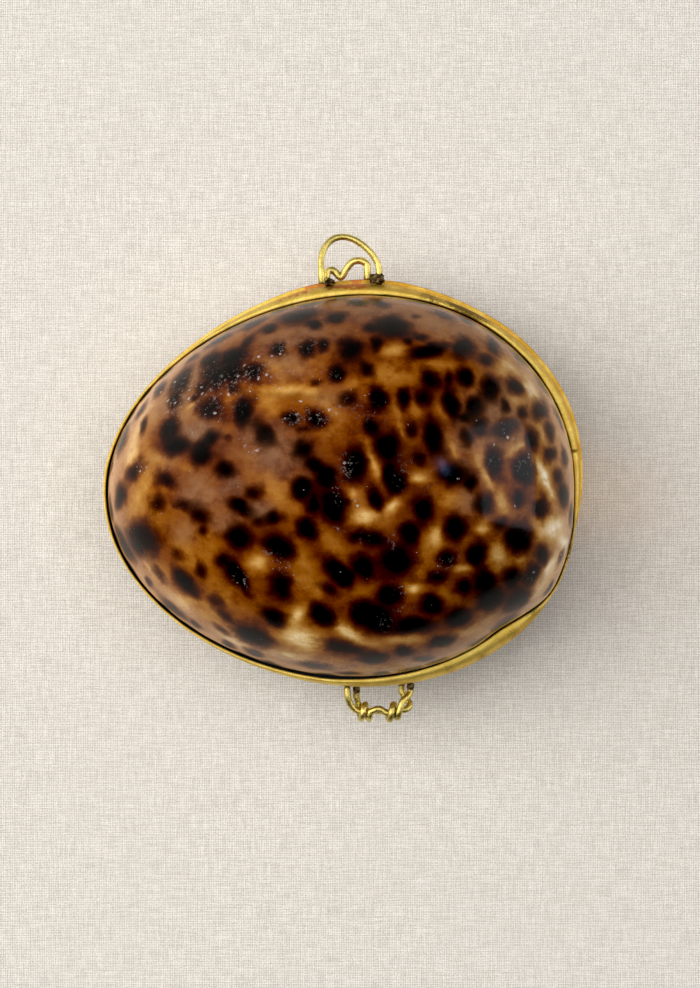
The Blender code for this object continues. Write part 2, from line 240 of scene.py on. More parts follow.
# ---- markings
# Dark spots: x, y, length, width, direction in degrees, darkness
SPOTS = [
    (-7.7, 28.3, 6.2, 2, 14, .75), (-15.2, 26.9, 4, 1.3, 30, .6), (-12.7, 26, 3.6, 1.6, 20, .65),
    (-16.2, 23.9, 2.8, 1.4, 50, .5), (-10.9, 22.6, 2.6, 2.4, 0, .7), (-18.3, 21.4, 5.4, 3, 30, .85),
    (-22.2, 20.8, 3.4, 2.6, 40, .8), (-18.8, 18.9, 3.8, 3.2, 0, .85), (-15.2, 18.7, 3.4, 2.9, -10, .85),
    (-21.6, 18.4, 4.2, 3.6, 30, .85), (-27.4, 17.4, 5.4, 2.3, 62, .8), (-23.6, 16.4, 2.6, 2, 40, .6),
    (-28.3, 14.2, 2.6, 2, 50, .65), (-25.4, 21.2, 2.4, 1, 40, .5), (-30.8, 16.2, 3, 1.4, 58, .65),
    (-33.4, 10, 3, 1.2, 75, .6), (-37.2, 7.6, 4.6, 1.5, 68, .85), (-22.6, 12.8, 4.2, 3.6, 0, .62),
    (-16.8, 12.5, 5, 2.9, 88, .95), (-29.2, 9.4, 3.8, 3, 60, .9), (-28, 6.8, 4.4, 3.2, -15, .9),
    (-24, 5.4, 4.4, 3.4, 70, .95), (-22.6, 7.6, 3, 2.4, 30, .8), (-19.8, 7.9, 2, 1.4, 0, .3),
    (-20.2, 2.4, 3, 2.8, 0, .7), (-13.7, 8.6, 5, 2.8, -58, .9), (-35.2, 2.2, 4.2, 2.4, 60, .6),
    (-29.8, .9, 4.2, 2.8, -25, .52), (-5.6, 26.8, 2.6, 1.8, 0, .75), (-1.5, 27.9, 3.4, 1.9, 8, .8),
    (2.3, 30.4, 3.2, 1.3, 0, .6), (5.8, 30.2, 3.2, 1.2, -8, .6), (7.6, 26.5, 6.4, 3.2, -4, .9),
    (4.4, 26, 2.4, 1.6, 0, .6), (5.3, 23.6, 3, 2, 85, .65), (11.9, 28.2, 1.8, .9, 0, .3),
    (12.6, 24.9, 3.4, 1.3, -15, .5), (10.5, 24.2, 2, 1.6, 0, .5), (-6.2, 22.7, 2.8, 2.8, 0, .8),
    (-3.8, 23.6, 2.2, 2, 0, .65), (.9, 22.6, 4.2, 3.8, 80, .95), (-1.4, 18.8, 3, 2.5, 90, .85),
    (3.7, 19.3, 3.2, 2.2, -50, .6), (-4.7, 17, 2, 1.5, 0, .35), (.4, 14.6, 2.8, 2.4, 0, .5),
    (5.6, 14.4, 4.2, 3.1, 95, .95), (9.7, 14.3, 3.4, 2.1, 95, .85), (14.2, 17.4, 3.4, 3.6, 0, .72),
    (13.1, 14.4, 3.4, 3.2, 0, .62), (-8.8, 11, 2.7, 2.5, 0, .7), (-4.8, 10.9, 3.6, 2.8, -45, .8),
    (-6.6, 9.4, 4, 1.2, 0, .35), (-7.2, 5.9, 3.4, 3, -30, .9), (-5.2, 3.6, 3, 2.4, -40, .9),
    (-3.1, 1.5, 3.6, 3.2, -40, 1), (4.7, 9.3, 3.8, 2.7, 100, .75), (7.3, 6.4, 5, 3.9, 95, 1),
    (7.8, 1.8, 3.4, 2.8, 90, 1), (11, 9.2, 3.6, 2.2, 90, .5), (14.9, 8.1, 5.8, 3.3, 100, 1),
    (12, 4.6, 2.8, 2.6, 0, .45), (1.5, 3.6, 5.4, 3.6, 85, 1), (13.9, 22.4, 6.4, 2.4, 14, .85),
    (16.6, 28.3, 3.6, 1.3, -25, .6), (19.6, 23, 3.4, 3.5, 0, .85), (24.6, 23.3, 3.2, 2.2, -40, .6),
    (29.2, 21.2, 3, 1.8, -45, .55), (19.8, 18.1, 3.1, 2.9, 90, .9), (17, 17.6, 3.2, 1.6, 90, .5),
    (24.3, 16.2, 4.2, 3.2, 95, 1), (28.3, 16.4, 3.1, 2.3, -30, .7), (17.7, 13.6, 5.2, 2.5, 104, .95),
    (21.8, 13, 3.6, 3, 70, .95), (20, 11.2, 3.2, 1.6, 0, .7), (26.6, 13.2, 2.6, 1.8, 95, .6),
    (29.4, 12.3, 2.4, 1.8, 90, .55), (32.7, 12.6, 3.6, 3, 110, .65), (34.2, 9, 2.8, 1.9, 105, .55),
    (22.6, 9.6, 3.4, 3, 90, .7), (26.9, 9.4, 4.6, 3, 20, .7), (24.9, 4, 4.6, 2.7, 95, .9),
    (31.1, 7.5, 3.6, 2.2, 95, .7), (20.3, 7.9, 3.6, 2.3, 95, .6), (34.3, 5.2, 2.8, 2.2, 95, .6),
    (36.7, 4.6, 2.8, 1.3, 100, .5), (29.8, 2.3, 4.6, 3.3, 95, .95), (18, 2.2, 5, 3.2, 8, 1),
    (20.6, .4, 3, 2.4, 90, .85), (35.7, 1.4, 2.8, 1.9, 95, .5), (-37.6, -1.8, 4.2, 2, 80, .8),
    (-31.3, -3.1, 3, 2.6, -30, .55), (-27, -3.3, 3, 2.1, -20, .45), (-24.6, -4.9, 4.6, 3.2, -50, .6),
    (-23.8, -7.9, 2.7, 1.9, -60, .45), (-34, -9.2, 5.8, 4.6, -50, .85),
    (-37.6, -8.2, 3.4, 1.5, -62, .7), (-26.5, -16.3, 5.8, 2.6, -52, .9),
    (-23.9, -14.1, 3, 1.9, -60, .5), (-28, -11.5, 3, 2.4, -40, .25), (-31.2, -14.6, 4.8, 1.4, -55, .35),
    (-15.3, -1.2, 3.6, 2.8, -30, .6), (-17.4, -3.9, 4.4, 2.6, -25, .9), (-12.2, -5.4, 3.2, 2.2, 0, .7),
    (-14.4, -6, 2.6, 1.8, 20, .4), (-17.6, -8.8, 4.2, 3.4, -35, 1), (-10.8, -10.2, 5.2, 3.9, -40, 1),
    (-18.2, -14.9, 6.6, 3, -50, 1), (-20.3, -12.4, 2.6, 2.2, 0, .6), (-10.7, -17, 5.2, 3.6, -75, .66),
    (-11.9, -22, 4.4, 2.5, -33, 1), (-15.2, -25.3, 6.6, 3, -25, .8), (-21.3, -19.5, 3.3, 2, -50, .35),
    (-20, -22, 4.6, 1.6, -40, .45), (-20.5, -24.2, 4.2, 1, -35, .4), (-28.5, -20.7, 6.6, 1.5, -42, .6),
    (-7, -.5, 4, 3.1, -15, 1), (-1.8, -3.5, 6, 3.8, 95, 1), (-5.2, -3.2, 3.2, 2.2, 90, .75),
    (-6.4, -7.7, 4.2, 2.8, -60, .95), (8.8, 0, 3.6, 3, 90, 1), (5, -2, 4.2, 2.4, -60, .75),
    (13, -3.8, 4.5, 3.5, 90, 1), (10.8, -7.9, 3.8, 2.9, 100, 1), (8.9, -12.8, 5.6, 5, -30, 1),
    (3, -13.5, 4, 3.7, 0, 1), (-1.2, -14.4, 5.4, 2.6, -50, 1), (.2, -15.8, 2.8, 2.6, 0, .9),
    (5, -8.9, 5.2, 2.6, -10, .7), (1.8, -8.6, 2.8, 2, 0, .55), (-3, -17.5, 4.6, 2, -35, .45),
    (7.3, -18.3, 4.2, 3.6, 0, 1), (5.6, -22.4, 6.2, 4.4, -10, 1), (3.2, -21.4, 4.4, 2.8, -30, 1),
    (11.5, -23.5, 6.2, 2.5, 0, 1), (-3.8, -21.9, 4.4, 2.9, -35, 1), (-.2, -27, 7.2, 2.3, -12, .66),
    (4.8, -28.9, 4.4, 2.1, -8, .85), (10, -27.8, 3, 1.7, 0, .7), (13.3, -29, 3.2, 1.2, 6, .55),
    (16.3, -26, 4.4, 2.1, 5, .8), (14.3, -20, 3.4, 2.9, 0, 1), (-5, -30.2, 6, 1.2, -8, .5),
    (22.9, -3.2, 3.6, 3.3, 80, .9), (29.1, -2.6, 3.1, 2.1, 90, .7), (32.4, -3.8, 3.1, 2.6, 90, .9),
    (36.6, -1.8, 4.4, 1.7, 97, .8), (26, -6.5, 3, 2.4, 40, .55), (28.9, -8.8, 5, 4, 115, .95),
    (18.7, -7, 4.4, 3.7, 100, 1), (21.9, -11.5, 3.7, 3.1, 90, 1), (16.9, -12.2, 3.4, 3.2, 0, .62),
    (15.5, -15.2, 4, 2.4, 10, .55), (19.9, -17.2, 2.8, 2.5, 0, .7), (23.4, -16, 3.9, 3.1, 90, 1),
    (24.4, -18.9, 4.2, 3.8, 30, 1), (28, -15.6, 3.1, 3, 90, .95), (33, -11.7, 3.8, 2.6, 100, .7),
    (31.3, -15, 4, 2.4, 70, .75), (18.9, -22.2, 4.6, 2.8, 8, 1), (28.8, -19.2, 4.6, 3, 45, .9),
    (26.5, -23, 4.6, 1.8, 38, .8), (22.3, -26, 3.6, 1.2, 24, .6), (36.1, -11.8, 3, 1, 72, .4),
    (-36.6, -10.6, 5, 1.8, -62, .8), (23.4, 21, 3, 2.2, -30, .6), (-18.6, 16.2, 2.4, 2, 0, .5),
    (-25, 14.6, 2.4, 1.4, 40, .5),
]
# Paler ground between the spots: x, y, length, width, direction, strength
GOLD = [
    (-9.5, 16, 11, 1.9, -6, 1), (-12.5, 13.2, 5, 2.6, -20, 1), (-2.4, 12.7, 5, 1.9, -45, .9),
    (1.8, 16.9, 5, 2, 20, .9), (7, 18.4, 8, 3.4, -8, 1), (14.5, 20.2, 10, 1.8, -3, .8),
    (8.3, 22.2, 4.4, 2.6, 0, .8), (-19, 15, 4, 1.6, 60, .6), (-33, 0, 5, 8, 0, .9),
    (-31.4, 4.4, 4, 2.4, -10, 1), (-26.5, 3, 6, 2, -20, .8), (-31, -6, 4, 5, -30, .6),
    (-11, -1.6, 10, 3.6, -42, .9), (-7, -12.5, 6, 3.2, -60, .9), (-2.4, -9.6, 8.5, 2.6, -45, 1),
    (2.6, -17.6, 6.5, 2.6, 8, .8), (-5.6, -17, 8, 2.8, -48, .8), (-22, -11, 6, 9, 10, .6),
    (-24.5, -20.3, 11, 3, -40, .9), (-26, -12.5, 4, 8, 30, .6), (2, -1.6, 3, 4, 0, .8),
    (-14.6, -18.5, 2.6, 8, 20, .4), (17.2, -18.4, 4.4, 1.8, -40, .9), (13.6, -11, 2.6, 5, 0, .9),
    (-33.5, 13.5, 3, 6, -40, .5), (-25.6, 13.2, 4, 1.4, 42, .9), (4.4, 4.4, 8, 1.9, -68, 1),
    (8.4, 12, 5, 1.7, -72, 1), (9.6, 8.8, 4, 1.5, -60, 1), (12.2, 12, 3.6, 1.6, -60, .9),
    (15.8, 12.4, 5.5, 1.6, -60, 1), (19.4, 15.4, 4.4, 1.4, -75, .8), (17.9, 7.2, 6, 1.7, -66, 1),
    (12.6, 1.2, 6, 2.6, 0, 1), (17, -2.4, 8, 3, -8, 1), (22.7, 6, 5, 1.6, 72, 1),
    (27.6, 5.8, 4.4, 1.6, 50, .9), (21.2, 15.6, 3.6, 1.4, 60, .7), (23.4, -6.2, 5, 4, 0, .9),
    (29.8, -12.6, 5, 1.8, 0, .8), (12.4, -14.6, 4, 4, 0, .7), (20, -9.4, 3, 4, 30, .8),
    (5, -5.4, 9, 3, 0, .9), (25.8, 19, 5, 1.6, -30, .6), (17.4, 19.6, 5, 1.4, -30, .6),
    (-36, 3, 8, 1.8, 74, .8), (-35.4, -4.4, 4, 3, 0, .7), (-20.5, 9.6, 3, 2, 0, .5),
    (-13.8, 15.2, 7, 3.4, -10, 1), (-7, 20, 5, 3.6, 20, .95), (-4, 14.6, 7, 4, 0, .7),
    (-11.5, 19.4, 6, 3, 0, .95), (16.8, 24.6, 3, 1.2, -20, .8), (-20.5, -18, 6, 4, -45, .6),
    (-3, 8.5, 5, 3, 0, .5), (-28, 11.5, 4, 3, 40, .6),
]
CREAM = [
    (2.8, -5.3, 4.6, 2.7, 0, .75), (7.9, -3.6, 4, 2, 42, .85), (15.3, -8.3, 3.2, 4, 0, .8),
    (11.5, -17.2, 3.6, 2.2, 0, .9), (22.9, -7.3, 3.4, 1.9, 0, .7), (25.6, -11.8, 3.4, 5, 20, .72),
    (26.2, -2.4, 2.6, 4.8, 12, .72), (23.4, 1.4, 8, 1.7, -66, .8), (33.2, 1.2, 8, 1.8, -64, 1),
    (34.7, -7.2, 5.6, 3.6, 10, .8), (36.6, -9.6, 3, 1.6, -70, .9), (34.2, -13.6, 6, 1.9, 62, .9),
    (32.1, -17.6, 3.6, 2, 42, .6), (-7.5, -25.6, 8.4, 4.6, -20, 1), (-8, -21.8, 3, 4, -45, .85),
    (.6, -24.6, 6.5, 2.6, -30, 1), (19.5, -14, 3.4, 1.8, 0, .8), (-34.6, -2, 2.2, 5, 0, .3),
    (-32.2, -13.4, 1.8, 4.4, 35, .6), (-14.9, -12.8, 3.4, 3.6, 0, .75), (9.5, -25.9, 8, 1.6, 0, .7),
    (23.5, -22.2, 5, 2, 30, .45), (19.4, -24.9, 6, 1.6, 14, .65), (4.9, 3, 5, 1.2, -70, .6),
    (12.2, .9, 3.2, 1.6, 0, .7), (31, 15.8, 4.6, 2.4, -60, .8), (33.2, 8, 4.6, 1.3, -68, .6),
    (8.4, 22.4, 3.4, 1.6, 10, .4), (-10, 15.8, 8, 1.6, -6, .3), (27.6, 19.6, 4, 1.6, -40, .4),
    (4, -26.4, 7, 1.6, -8, .5), (-22, -20.5, 7, 1.6, -42, .4), (2, 25, 3, 1.6, 60, .3),
    (-25.8, 13, 3, .8, 42, .5), (-34.8, 8.4, 9, 2, 66, .55), (28.2, 14.4, 3.4, 1.4, -20, .5),
    (29.2, 6.8, 3, 1.1, 30, .6), (-9.5, -28.4, 9, 1.8, -14, .8), (-18.5, -25.8, 8, 1.8, -34, .8),
    (29.6, -12.4, 3, 1.2, 0, .4), (1.2, -2, 3, 1.2, 90, .6), (17.9, 5.8, 2.6, .9, -70, .5),
    (-33.8, 12.4, 5, 1.6, 55, .5), (-35.6, 5, 4, 1.6, 70, .6), (-27.4, -19.6, 6, 2.2, -42, .6),
]
# Greyish film over the glaze, painted partly as wear and partly as reflection of the room mirrored in the
# polish
FILM_AND_SHEEN = [
    (-24.5, 8.8, 6, 5, 0, .75), (-27, 16, 13, 4.5, 45, .85), (-12.5, 5.5, 11, 8, -20, .5),
    (-24, -1, 7, 5, -20, .6), (-18.8, .2, 4, 4, 0, .5), (-13.8, -4.2, 4, 3, 0, .5),
    (-10, 20.2, 8, 4, 0, .45), (-8, 25, 14, 4, 6, .5), (6, 28.5, 20, 4, -4, .5),
    (-28, 11, 6, 5, 40, .45), (-30, 4, 5, 4, 0, .35), (-20, -6, 5, 4, 0, .35), (-27, -8, 4, 4, 0, .4),
    (17, 26, 9, 4, -20, .6), (20, 6, 8, 10, 0, .35), (26, 11.5, 10, 10, 0, .6), (-2, 14, 5, 4, 0, .35),
    (-16, 10, 4, 5, 0, .3), (20.5, -2.5, 4, 5, 0, .4),
]
# Darker ground
DUSK = [
    (0, 30, 44, 9, 0, .75), (-20, 22.5, 16, 7, 38, .25), (24, 23, 16, 6, -40, .2),
    (22, -19, 16, 11, 38, .9), (8, -8, 22, 14, 0, .45), (12, -27, 22, 7, 8, .55), (12, 4, 10, 9, 0, .6),
    (-4.5, 5.5, 7, 8, 0, .55), (-7, 14.7, 13, 1.1, -2, .8), (-30.6, 9, 12, 2.2, 62, .6),
    (-21, 5, 12, 12, 0, .3), (-14, -8, 12, 10, -40, .3), (-34, -8, 8, 9, -50, .5),
    (-10, -27.5, 26, 5, -14, .3), (2, -14, 12, 8, 0, .35), (13, 13, 14, 9, 0, .22),
]
# Painted reflection: a milky sheen along the margin, where the polished glaze mirrors the room: direction
# round the shell in degrees, strength
MARGIN_SHEEN = [
    (-165, .3), (-150, .36), (-135, .3), (-120, .34), (-105, .3), (-90, .13), (-75, .14), (-60, 0),
    (-30, 0), (-15, .2), (0, .22), (15, .55), (27, .4), (37, 0), (75, .02), (95, .12), (108, .06),
    (120, .36), (135, .55), (150, .85), (163, .5), (178, .25),
]
# Little heaps of tiny pale chips in the glaze
CHIPS = [
    (-26.5, 15.8, 9, 4, 45, 1), (-20, 17, 8, 4, 20, .9), (-14, 18.6, 8, 3.4, 5, .7),
    (-15.5, 20.9, 5, 3, 30, .6), (-8.8, 11.6, 3.4, 2.6, 0, 1), (-4.7, 11.6, 3, 2.6, 0, .8),
    (-10.5, 22.6, 3, 3, 0, .7), (-5.4, 23.4, 4, 2.4, 0, .5), (-16.4, 6.4, 1.8, 4, 40, .8),
    (-29.5, 12.6, 5, 3, 45, .7), (-6, 18.6, 8, 3, 0, .4), (27.5, 8, 3, 4, 0, .4),
    (-10.6, -13.6, 6, 2, -40, 1), (-13.6, -12, 2.4, 2, 0, .9), (-17.2, -15.5, 3, 2.2, -40, .9),
    (-.9, -1.4, 1.6, 2.8, 0, .8), (1.4, -2.6, 1.6, 2.4, 0, .8), (7.9, -9.4, 1.6, 3, 0, .7),
    (3.2, -8.9, 2, 1.8, 0, .6), (9.2, -18, 2.4, 1.6, 0, .7), (10, -20.8, 3.4, 1.4, 0, .7),
    (16, -13.6, 3, 1.8, 0, .7), (19, -13, 3, 2.4, 0, .5), (-1, -7.5, 2, 1.2, 0, .5),
    (-22, 14, 9, 6, 30, .5), (-15, 18.5, 8, 4, 10, .55), (-33.5, 3, 2.5, 3, 0, .7),
    (0, 3, 2.5, 5, 0, .5), (9.5, 1, 2, 6, 0, .5), (14, .3, 2, 3, 0, .6), (-2, 12, 14, 5, 0, .35),
    (29.8, 2.8, 3, 3, 0, .6), (31.6, -15.6, 1.8, 1.8, 0, .7), (-28, -3.4, 1.6, 1.4, 0, .5),
    (6.8, -22.8, 2.4, 3, 0, .4), (25, 3.5, 2, 2.4, 0, .5),
]


def core(far):
    """A spot's dark middle, at that many half widths from its centre."""
    return np.exp(-1.3 * far ** 1.95)


def halo(far):
    """The brown that bleeds out round a spot."""
    return np.exp(-0.30 * far ** 2)


def patch(far):
    """A soft patch of ground, film or chips."""
    return np.exp(-0.85 * far ** 2.2)


def ellipse_fields(points, normals, view, table, profiles, warp):
    """Soft-edged ellipses that lie on the surface, added up as squares for each profile."""
    totals = [np.zeros(len(points)) for _ in profiles]
    warped = points + warp
    for x, y, length, width, direction, strength in table:
        k = np.argmin((view[:, 0] - x) ** 2 + (view[:, 1] - y) ** 2)
        centre, normal = points[k], normals[k]
        scale = EYE_HEIGHT / (EYE_HEIGHT - (centre[2] - SPLIT))
        away = warped - centre
        away = away - np.outer(away @ normal, normal)
        slope = math.hypot(normal[0], normal[1])
        if slope > 0.3:                       # a steep flank isn't stretched without end
            down = np.array([normal[0], normal[1]]) / slope
            flat = max(normal[2], 0.36) / max(normal[2], 0.02)
            inward = away[:, :2] @ down
            away[:, :2] += np.outer(inward * (flat - 1), down)
        turn = math.radians(direction)
        along = away[:, 0] * math.cos(turn) + away[:, 1] * math.sin(turn)
        across = away[:, 1] * math.cos(turn) - away[:, 0] * math.sin(turn)
        far = np.hypot(along * scale / (length / 2), across * scale / (width / 2))
        close = ((points - centre) ** 2).sum(1) < (length + 6) ** 2
        for total, profile in zip(totals, profiles):
            total += np.where(close, profile(far) * strength, 0) ** 2
    return [np.sqrt(total) for total in totals]


# ---- node helpers

class Nodes:
    """Short words for building the node tree of a material or of the world."""

    def __init__(self, owner):
        owner.use_nodes = True
        self.owner = owner
        self.tree = owner.node_tree
        self.object_place = None

    def put(self, target, value):
        """Gives a socket another node's output, a colour or a plain value."""
        if isinstance(value, bpy.types.NodeSocket):
            self.tree.links.new(value, target)
        elif target.type == "RGBA":
            target.default_value = (*value[:3], 1)
        else:
            target.default_value = value

    def node(self, kind, inputs, **settings):
        """Outputs of a new node. Its inputs go by name or number."""
        node = self.tree.nodes.new("ShaderNode" + kind)
        for name, value in settings.items():
            setattr(node, name, value)
        for name, value in inputs.items():
            self.put(node.inputs[name], value)
        return node.outputs

    def set(self, **values):
        """Sets the shader's inputs."""
        for name, value in values.items():
            self.put(self.tree.nodes["Principled BSDF"].inputs[name.replace("_", " ")], value)

    def place(self):
        if self.object_place is None:
            self.object_place = self.node("TexCoord", {})["Object"]
        return self.object_place

    def attribute(self, name):
        return self.node("Attribute", {}, attribute_name=name)["Fac"]

    def noise(self, size, detail=3.0, rough=0.5, stretch=None, warp=0.0):
        """Noise with features of that size in millimetres."""
        where = self.vector("MULTIPLY", self.place(), stretch) if stretch else self.place()
        return self.node("TexNoise", {"Vector": where, "Scale": 1 / (size * MM), "Detail": detail,
                                      "Roughness": rough, "Distortion": warp})["Fac"]

    def cells(self, size, output="Distance"):
        return self.node("TexVoronoi", {"Vector": self.place(), "Scale": 1 / (size * MM)})[output]

    def threads(self, axis, pitch, wander):
        """Waves from 0 to 1 along an axis, as parallel threads of a cloth."""
        along = self.node("SeparateXYZ", {0: self.place()})[axis]
        shaken = self.plus(along, wander, pitch * MM)
        return self.plus(0.5, self.math("SINE", self.times(shaken, TAU / (pitch * MM))), 0.5)

    def vector(self, operation, a, b):
        return self.node("VectorMath", {0: a, 1: b}, operation=operation)[0]

    def math(self, operation, a, b=0.0, c=0.0):
        return self.node("Math", {0: a, 1: b, 2: c}, operation=operation)[0]

    def times(self, a, b):
        return self.math("MULTIPLY", a, b)

    def plus(self, value, more, amount=1.0):
        """The value and that amount of something more."""
        return self.math("MULTIPLY_ADD", more, amount, value)

    def vary(self, value, wave, amount):
        """The value moved up and down by a noise."""
        return self.plus(value, self.math("SUBTRACT", wave, 0.5), amount)

    def range(self, value, low, high, to_low=0.0, to_high=1.0, smooth=True):
        return self.node("MapRange", {"Value": value, "From Min": low, "From Max": high,
                                      "To Min": to_low, "To Max": to_high},
                         interpolation_type="SMOOTHSTEP" if smooth else "LINEAR")["Result"]

    def mix(self, share, a, b, blend="MIX"):
        return self.node("Mix", {0: share, 6: a, 7: b}, data_type="RGBA", blend_type=blend)[2]

    def tint(self, a, b):
        return self.mix(1.0, a, b, "MULTIPLY")

    def absorb(self, amount, clearness):
        """What pigment of that amount lets through: clearness is what a whole unit of it passes."""
        passed = {k: self.math("POWER", share, amount) for k, share in enumerate(clearness)}
        return self.node("CombineColor", passed)[0]

    def bump(self, height, distance, under=None):
        inputs = {"Height": height, "Distance": distance * MM, "Strength": 1.0}
        if under is not None:
            inputs["Normal"] = under
        return self.node("Bump", inputs)["Normal"]


def new_material(name):
    return Nodes(bpy.data.materials.new(name))


# ---- materials

def add_flecks(n, cell, share, grain, sizes):
    """A share of the cells of that size, each with a fleck in it."""
    # A cell's colour is drawn evenly from 0 to 1, so its red picks the cells
    draw = n.node("SeparateColor", {0: n.cells(cell, "Color")})[0]
    return n.times(n.math("LESS_THAN", n.cells(cell), n.range(n.noise(grain, 3, 0.8), *sizes)),
                   n.math("LESS_THAN", draw, share))


def back_material():
    """Cowrie glaze: cream under a brown pigment, and dark spots that bleed a little into it."""
    n = new_material("cowrie_back")
    broad, mottle, fine = n.noise(6, 4, 0.6), n.noise(2.2, 4, 0.6), n.noise(0.35, 3, 0.6)
    streak = n.noise(1.3, 4, 0.6, (0.3, 1.0, 1.0), 0.6)
    cream, gold, right, chips = (n.attribute(name) for name in ("cream", "gold", "right", "chips"))
    # How much brown there is: less where it is golden, still less where it is cream
    brown = n.range(broad, 0.3, 0.7, 0.65, 0.45)
    brown = n.plus(brown, right, -0.17)
    brown = n.plus(brown, n.attribute("umber"), 0.26)
    brown = n.plus(brown, n.range(n.noise(4.5, 5, 0.6), 0.48, 0.72), 0.34)
    brown = n.times(brown, n.range(gold, 0.0, 1.0, 1.0, 0.64, False))
    brown = n.times(brown, n.range(cream, 0.0, 0.9, 1.0, 0.05, False))
    for wave, amount in ((mottle, 0.34), (streak, 0.26), (fine, 0.14)):
        brown = n.vary(brown, wave, amount)
    clear = n.range(n.math("MAXIMUM", gold, cream), 0.0, 1.0, 0.62, 0.27, False)
    brown = n.math("MAXIMUM", n.plus(brown, n.attribute("halo"), clear), 0.03)
    cream_colour = n.mix(right, (1.0, 0.84, 0.55), (0.88, 0.80, 0.69))
    ground = n.tint(cream_colour, n.absorb(brown, (0.160, 0.042, 0.0024)))
    # Partly painted reflection: the film pulls the ground toward a greyish brown and feeds the painted sheen
    # below
    film_and_sheen_share = n.times(n.attribute("film_and_sheen"), n.range(n.noise(3, 5, 0.65), 0.3, 0.6, 0.4, 1.2))
    ground = n.mix(film_and_sheen_share, ground, (0.25, 0.135, 0.07))
    pale = n.times(n.attribute("pale"), n.range(mottle, 0.25, 0.75, 0.6, 1.1))
    ground = n.mix(pale, ground, n.mix(cream, (0.72, 0.43, 0.23), (1.0, 0.88, 0.72)))
    ground = n.mix(n.attribute("dusk"), ground, n.tint(ground, (0.60, 0.54, 0.52)))
    pigment = n.vary(n.vary(n.attribute("spot"), mottle, 0.30), fine, 0.08)
    pigment = n.range(pigment, 0.03, 1.2, 0.0, 2.0, False)
    colour = n.tint(ground, n.absorb(pigment, (0.026, 0.0070, 0.0010)))
    # Painted reflection: a milky grey sheen is added to the colour along the margin and, weaker, over the
    # film
    sheen_share = n.math("MAXIMUM", n.attribute("margin_sheen"), n.times(film_and_sheen_share, 0.10))
    sheen_light = n.mix(sheen_share, (0.0006, 0.0004, 0.0003), (0.120, 0.092, 0.076))
    colour = n.mix(1.0, colour, sheen_light, "ADD")
    # Chips: dust and flakes, more of them where the table says, and scuffs beside them
    heap = n.times(chips, n.range(n.noise(1.1), 0.35, 0.65))
    dust = add_flecks(n, 0.42, n.plus(0.006, heap, 0.5), 0.5, (0.38, 0.72, 0.02, 0.36))
    flake = add_flecks(n, 1.15, n.plus(0.003, chips, 0.34), 0.45, (0.36, 0.66, 0.06, 0.34))
    chip = n.math("MAXIMUM", n.times(dust, 0.75), flake)
    scuff = n.times(n.range(n.noise(0.7, 5, 0.8), 0.54, 0.70), n.times(chips, 0.62))
    worn = n.math("MAXIMUM", n.times(chip, n.range(fine, 0.3, 0.7, 0.3, 0.9)), scuff)
    colour = n.mix(worn, colour, n.mix(mottle, (0.58, 0.46, 0.39), (0.53, 0.52, 0.50)))
    porcelain = n.mix(broad, (0.70, 0.62, 0.60), (0.62, 0.52, 0.55))
    colour = n.mix(n.attribute("inside"), colour, porcelain)
    rough = n.range(n.noise(1.6, 5, 0.65), 0.3, 0.8, 0.17, 0.30)
    for where, amount in ((n.attribute("polish"), -0.115), (chip, 0.3), (n.attribute("matt"), 0.3)):
        rough = n.plus(rough, where, amount)
    n.set(Base_Color=colour, Roughness=rough, IOR=1.5, Specular_IOR_Level=0.14,
          Subsurface_Weight=0.12, Subsurface_Radius=(1.0, 0.45, 0.2), Subsurface_Scale=1.2 * MM,
          Normal=n.bump(chip, 0.05, n.bump(n.noise(5, 3), 0.03)))
    return n.owner


def base_material():
    """The base: cream below, tan up the flank, brown between the teeth."""
    n = new_material("cowrie_base")
    broad, mottle = n.noise(9, 3), n.noise(2.2, 4, 0.6)
    flank = n.mix(n.range(broad, 0.35, 0.65), (0.42, 0.24, 0.13), (0.58, 0.40, 0.26))
    cream = n.mix(n.range(broad, 0.3, 0.7), (0.76, 0.66, 0.52), (0.82, 0.75, 0.66))
    ground = n.mix(n.attribute("belly"), flank, cream)
    ground = n.mix(n.attribute("groove"), ground, (0.50, 0.27, 0.12))
    spot = n.vary(n.attribute("spot"), mottle, 0.35)
    colour = n.mix(n.range(spot, 0.02, 0.42), ground, n.tint(ground, (0.5, 0.3, 0.2)))
    colour = n.mix(n.range(spot, 0.3, 0.8), colour, (0.022, 0.014, 0.012))
    porcelain = n.mix(broad, (0.74, 0.66, 0.63), (0.66, 0.55, 0.58))
    colour = n.mix(n.attribute("inside"), colour, porcelain)
    rough = n.range(n.noise(1.6, 5, 0.65), 0.3, 0.8, 0.10, 0.22)
    n.set(Base_Color=colour, Roughness=rough, IOR=1.5, Normal=n.bump(n.noise(4, 3), 0.03),
          Subsurface_Weight=0.15, Subsurface_Radius=(1.0, 0.6, 0.35), Subsurface_Scale=1.2 * MM)
    return n.owner


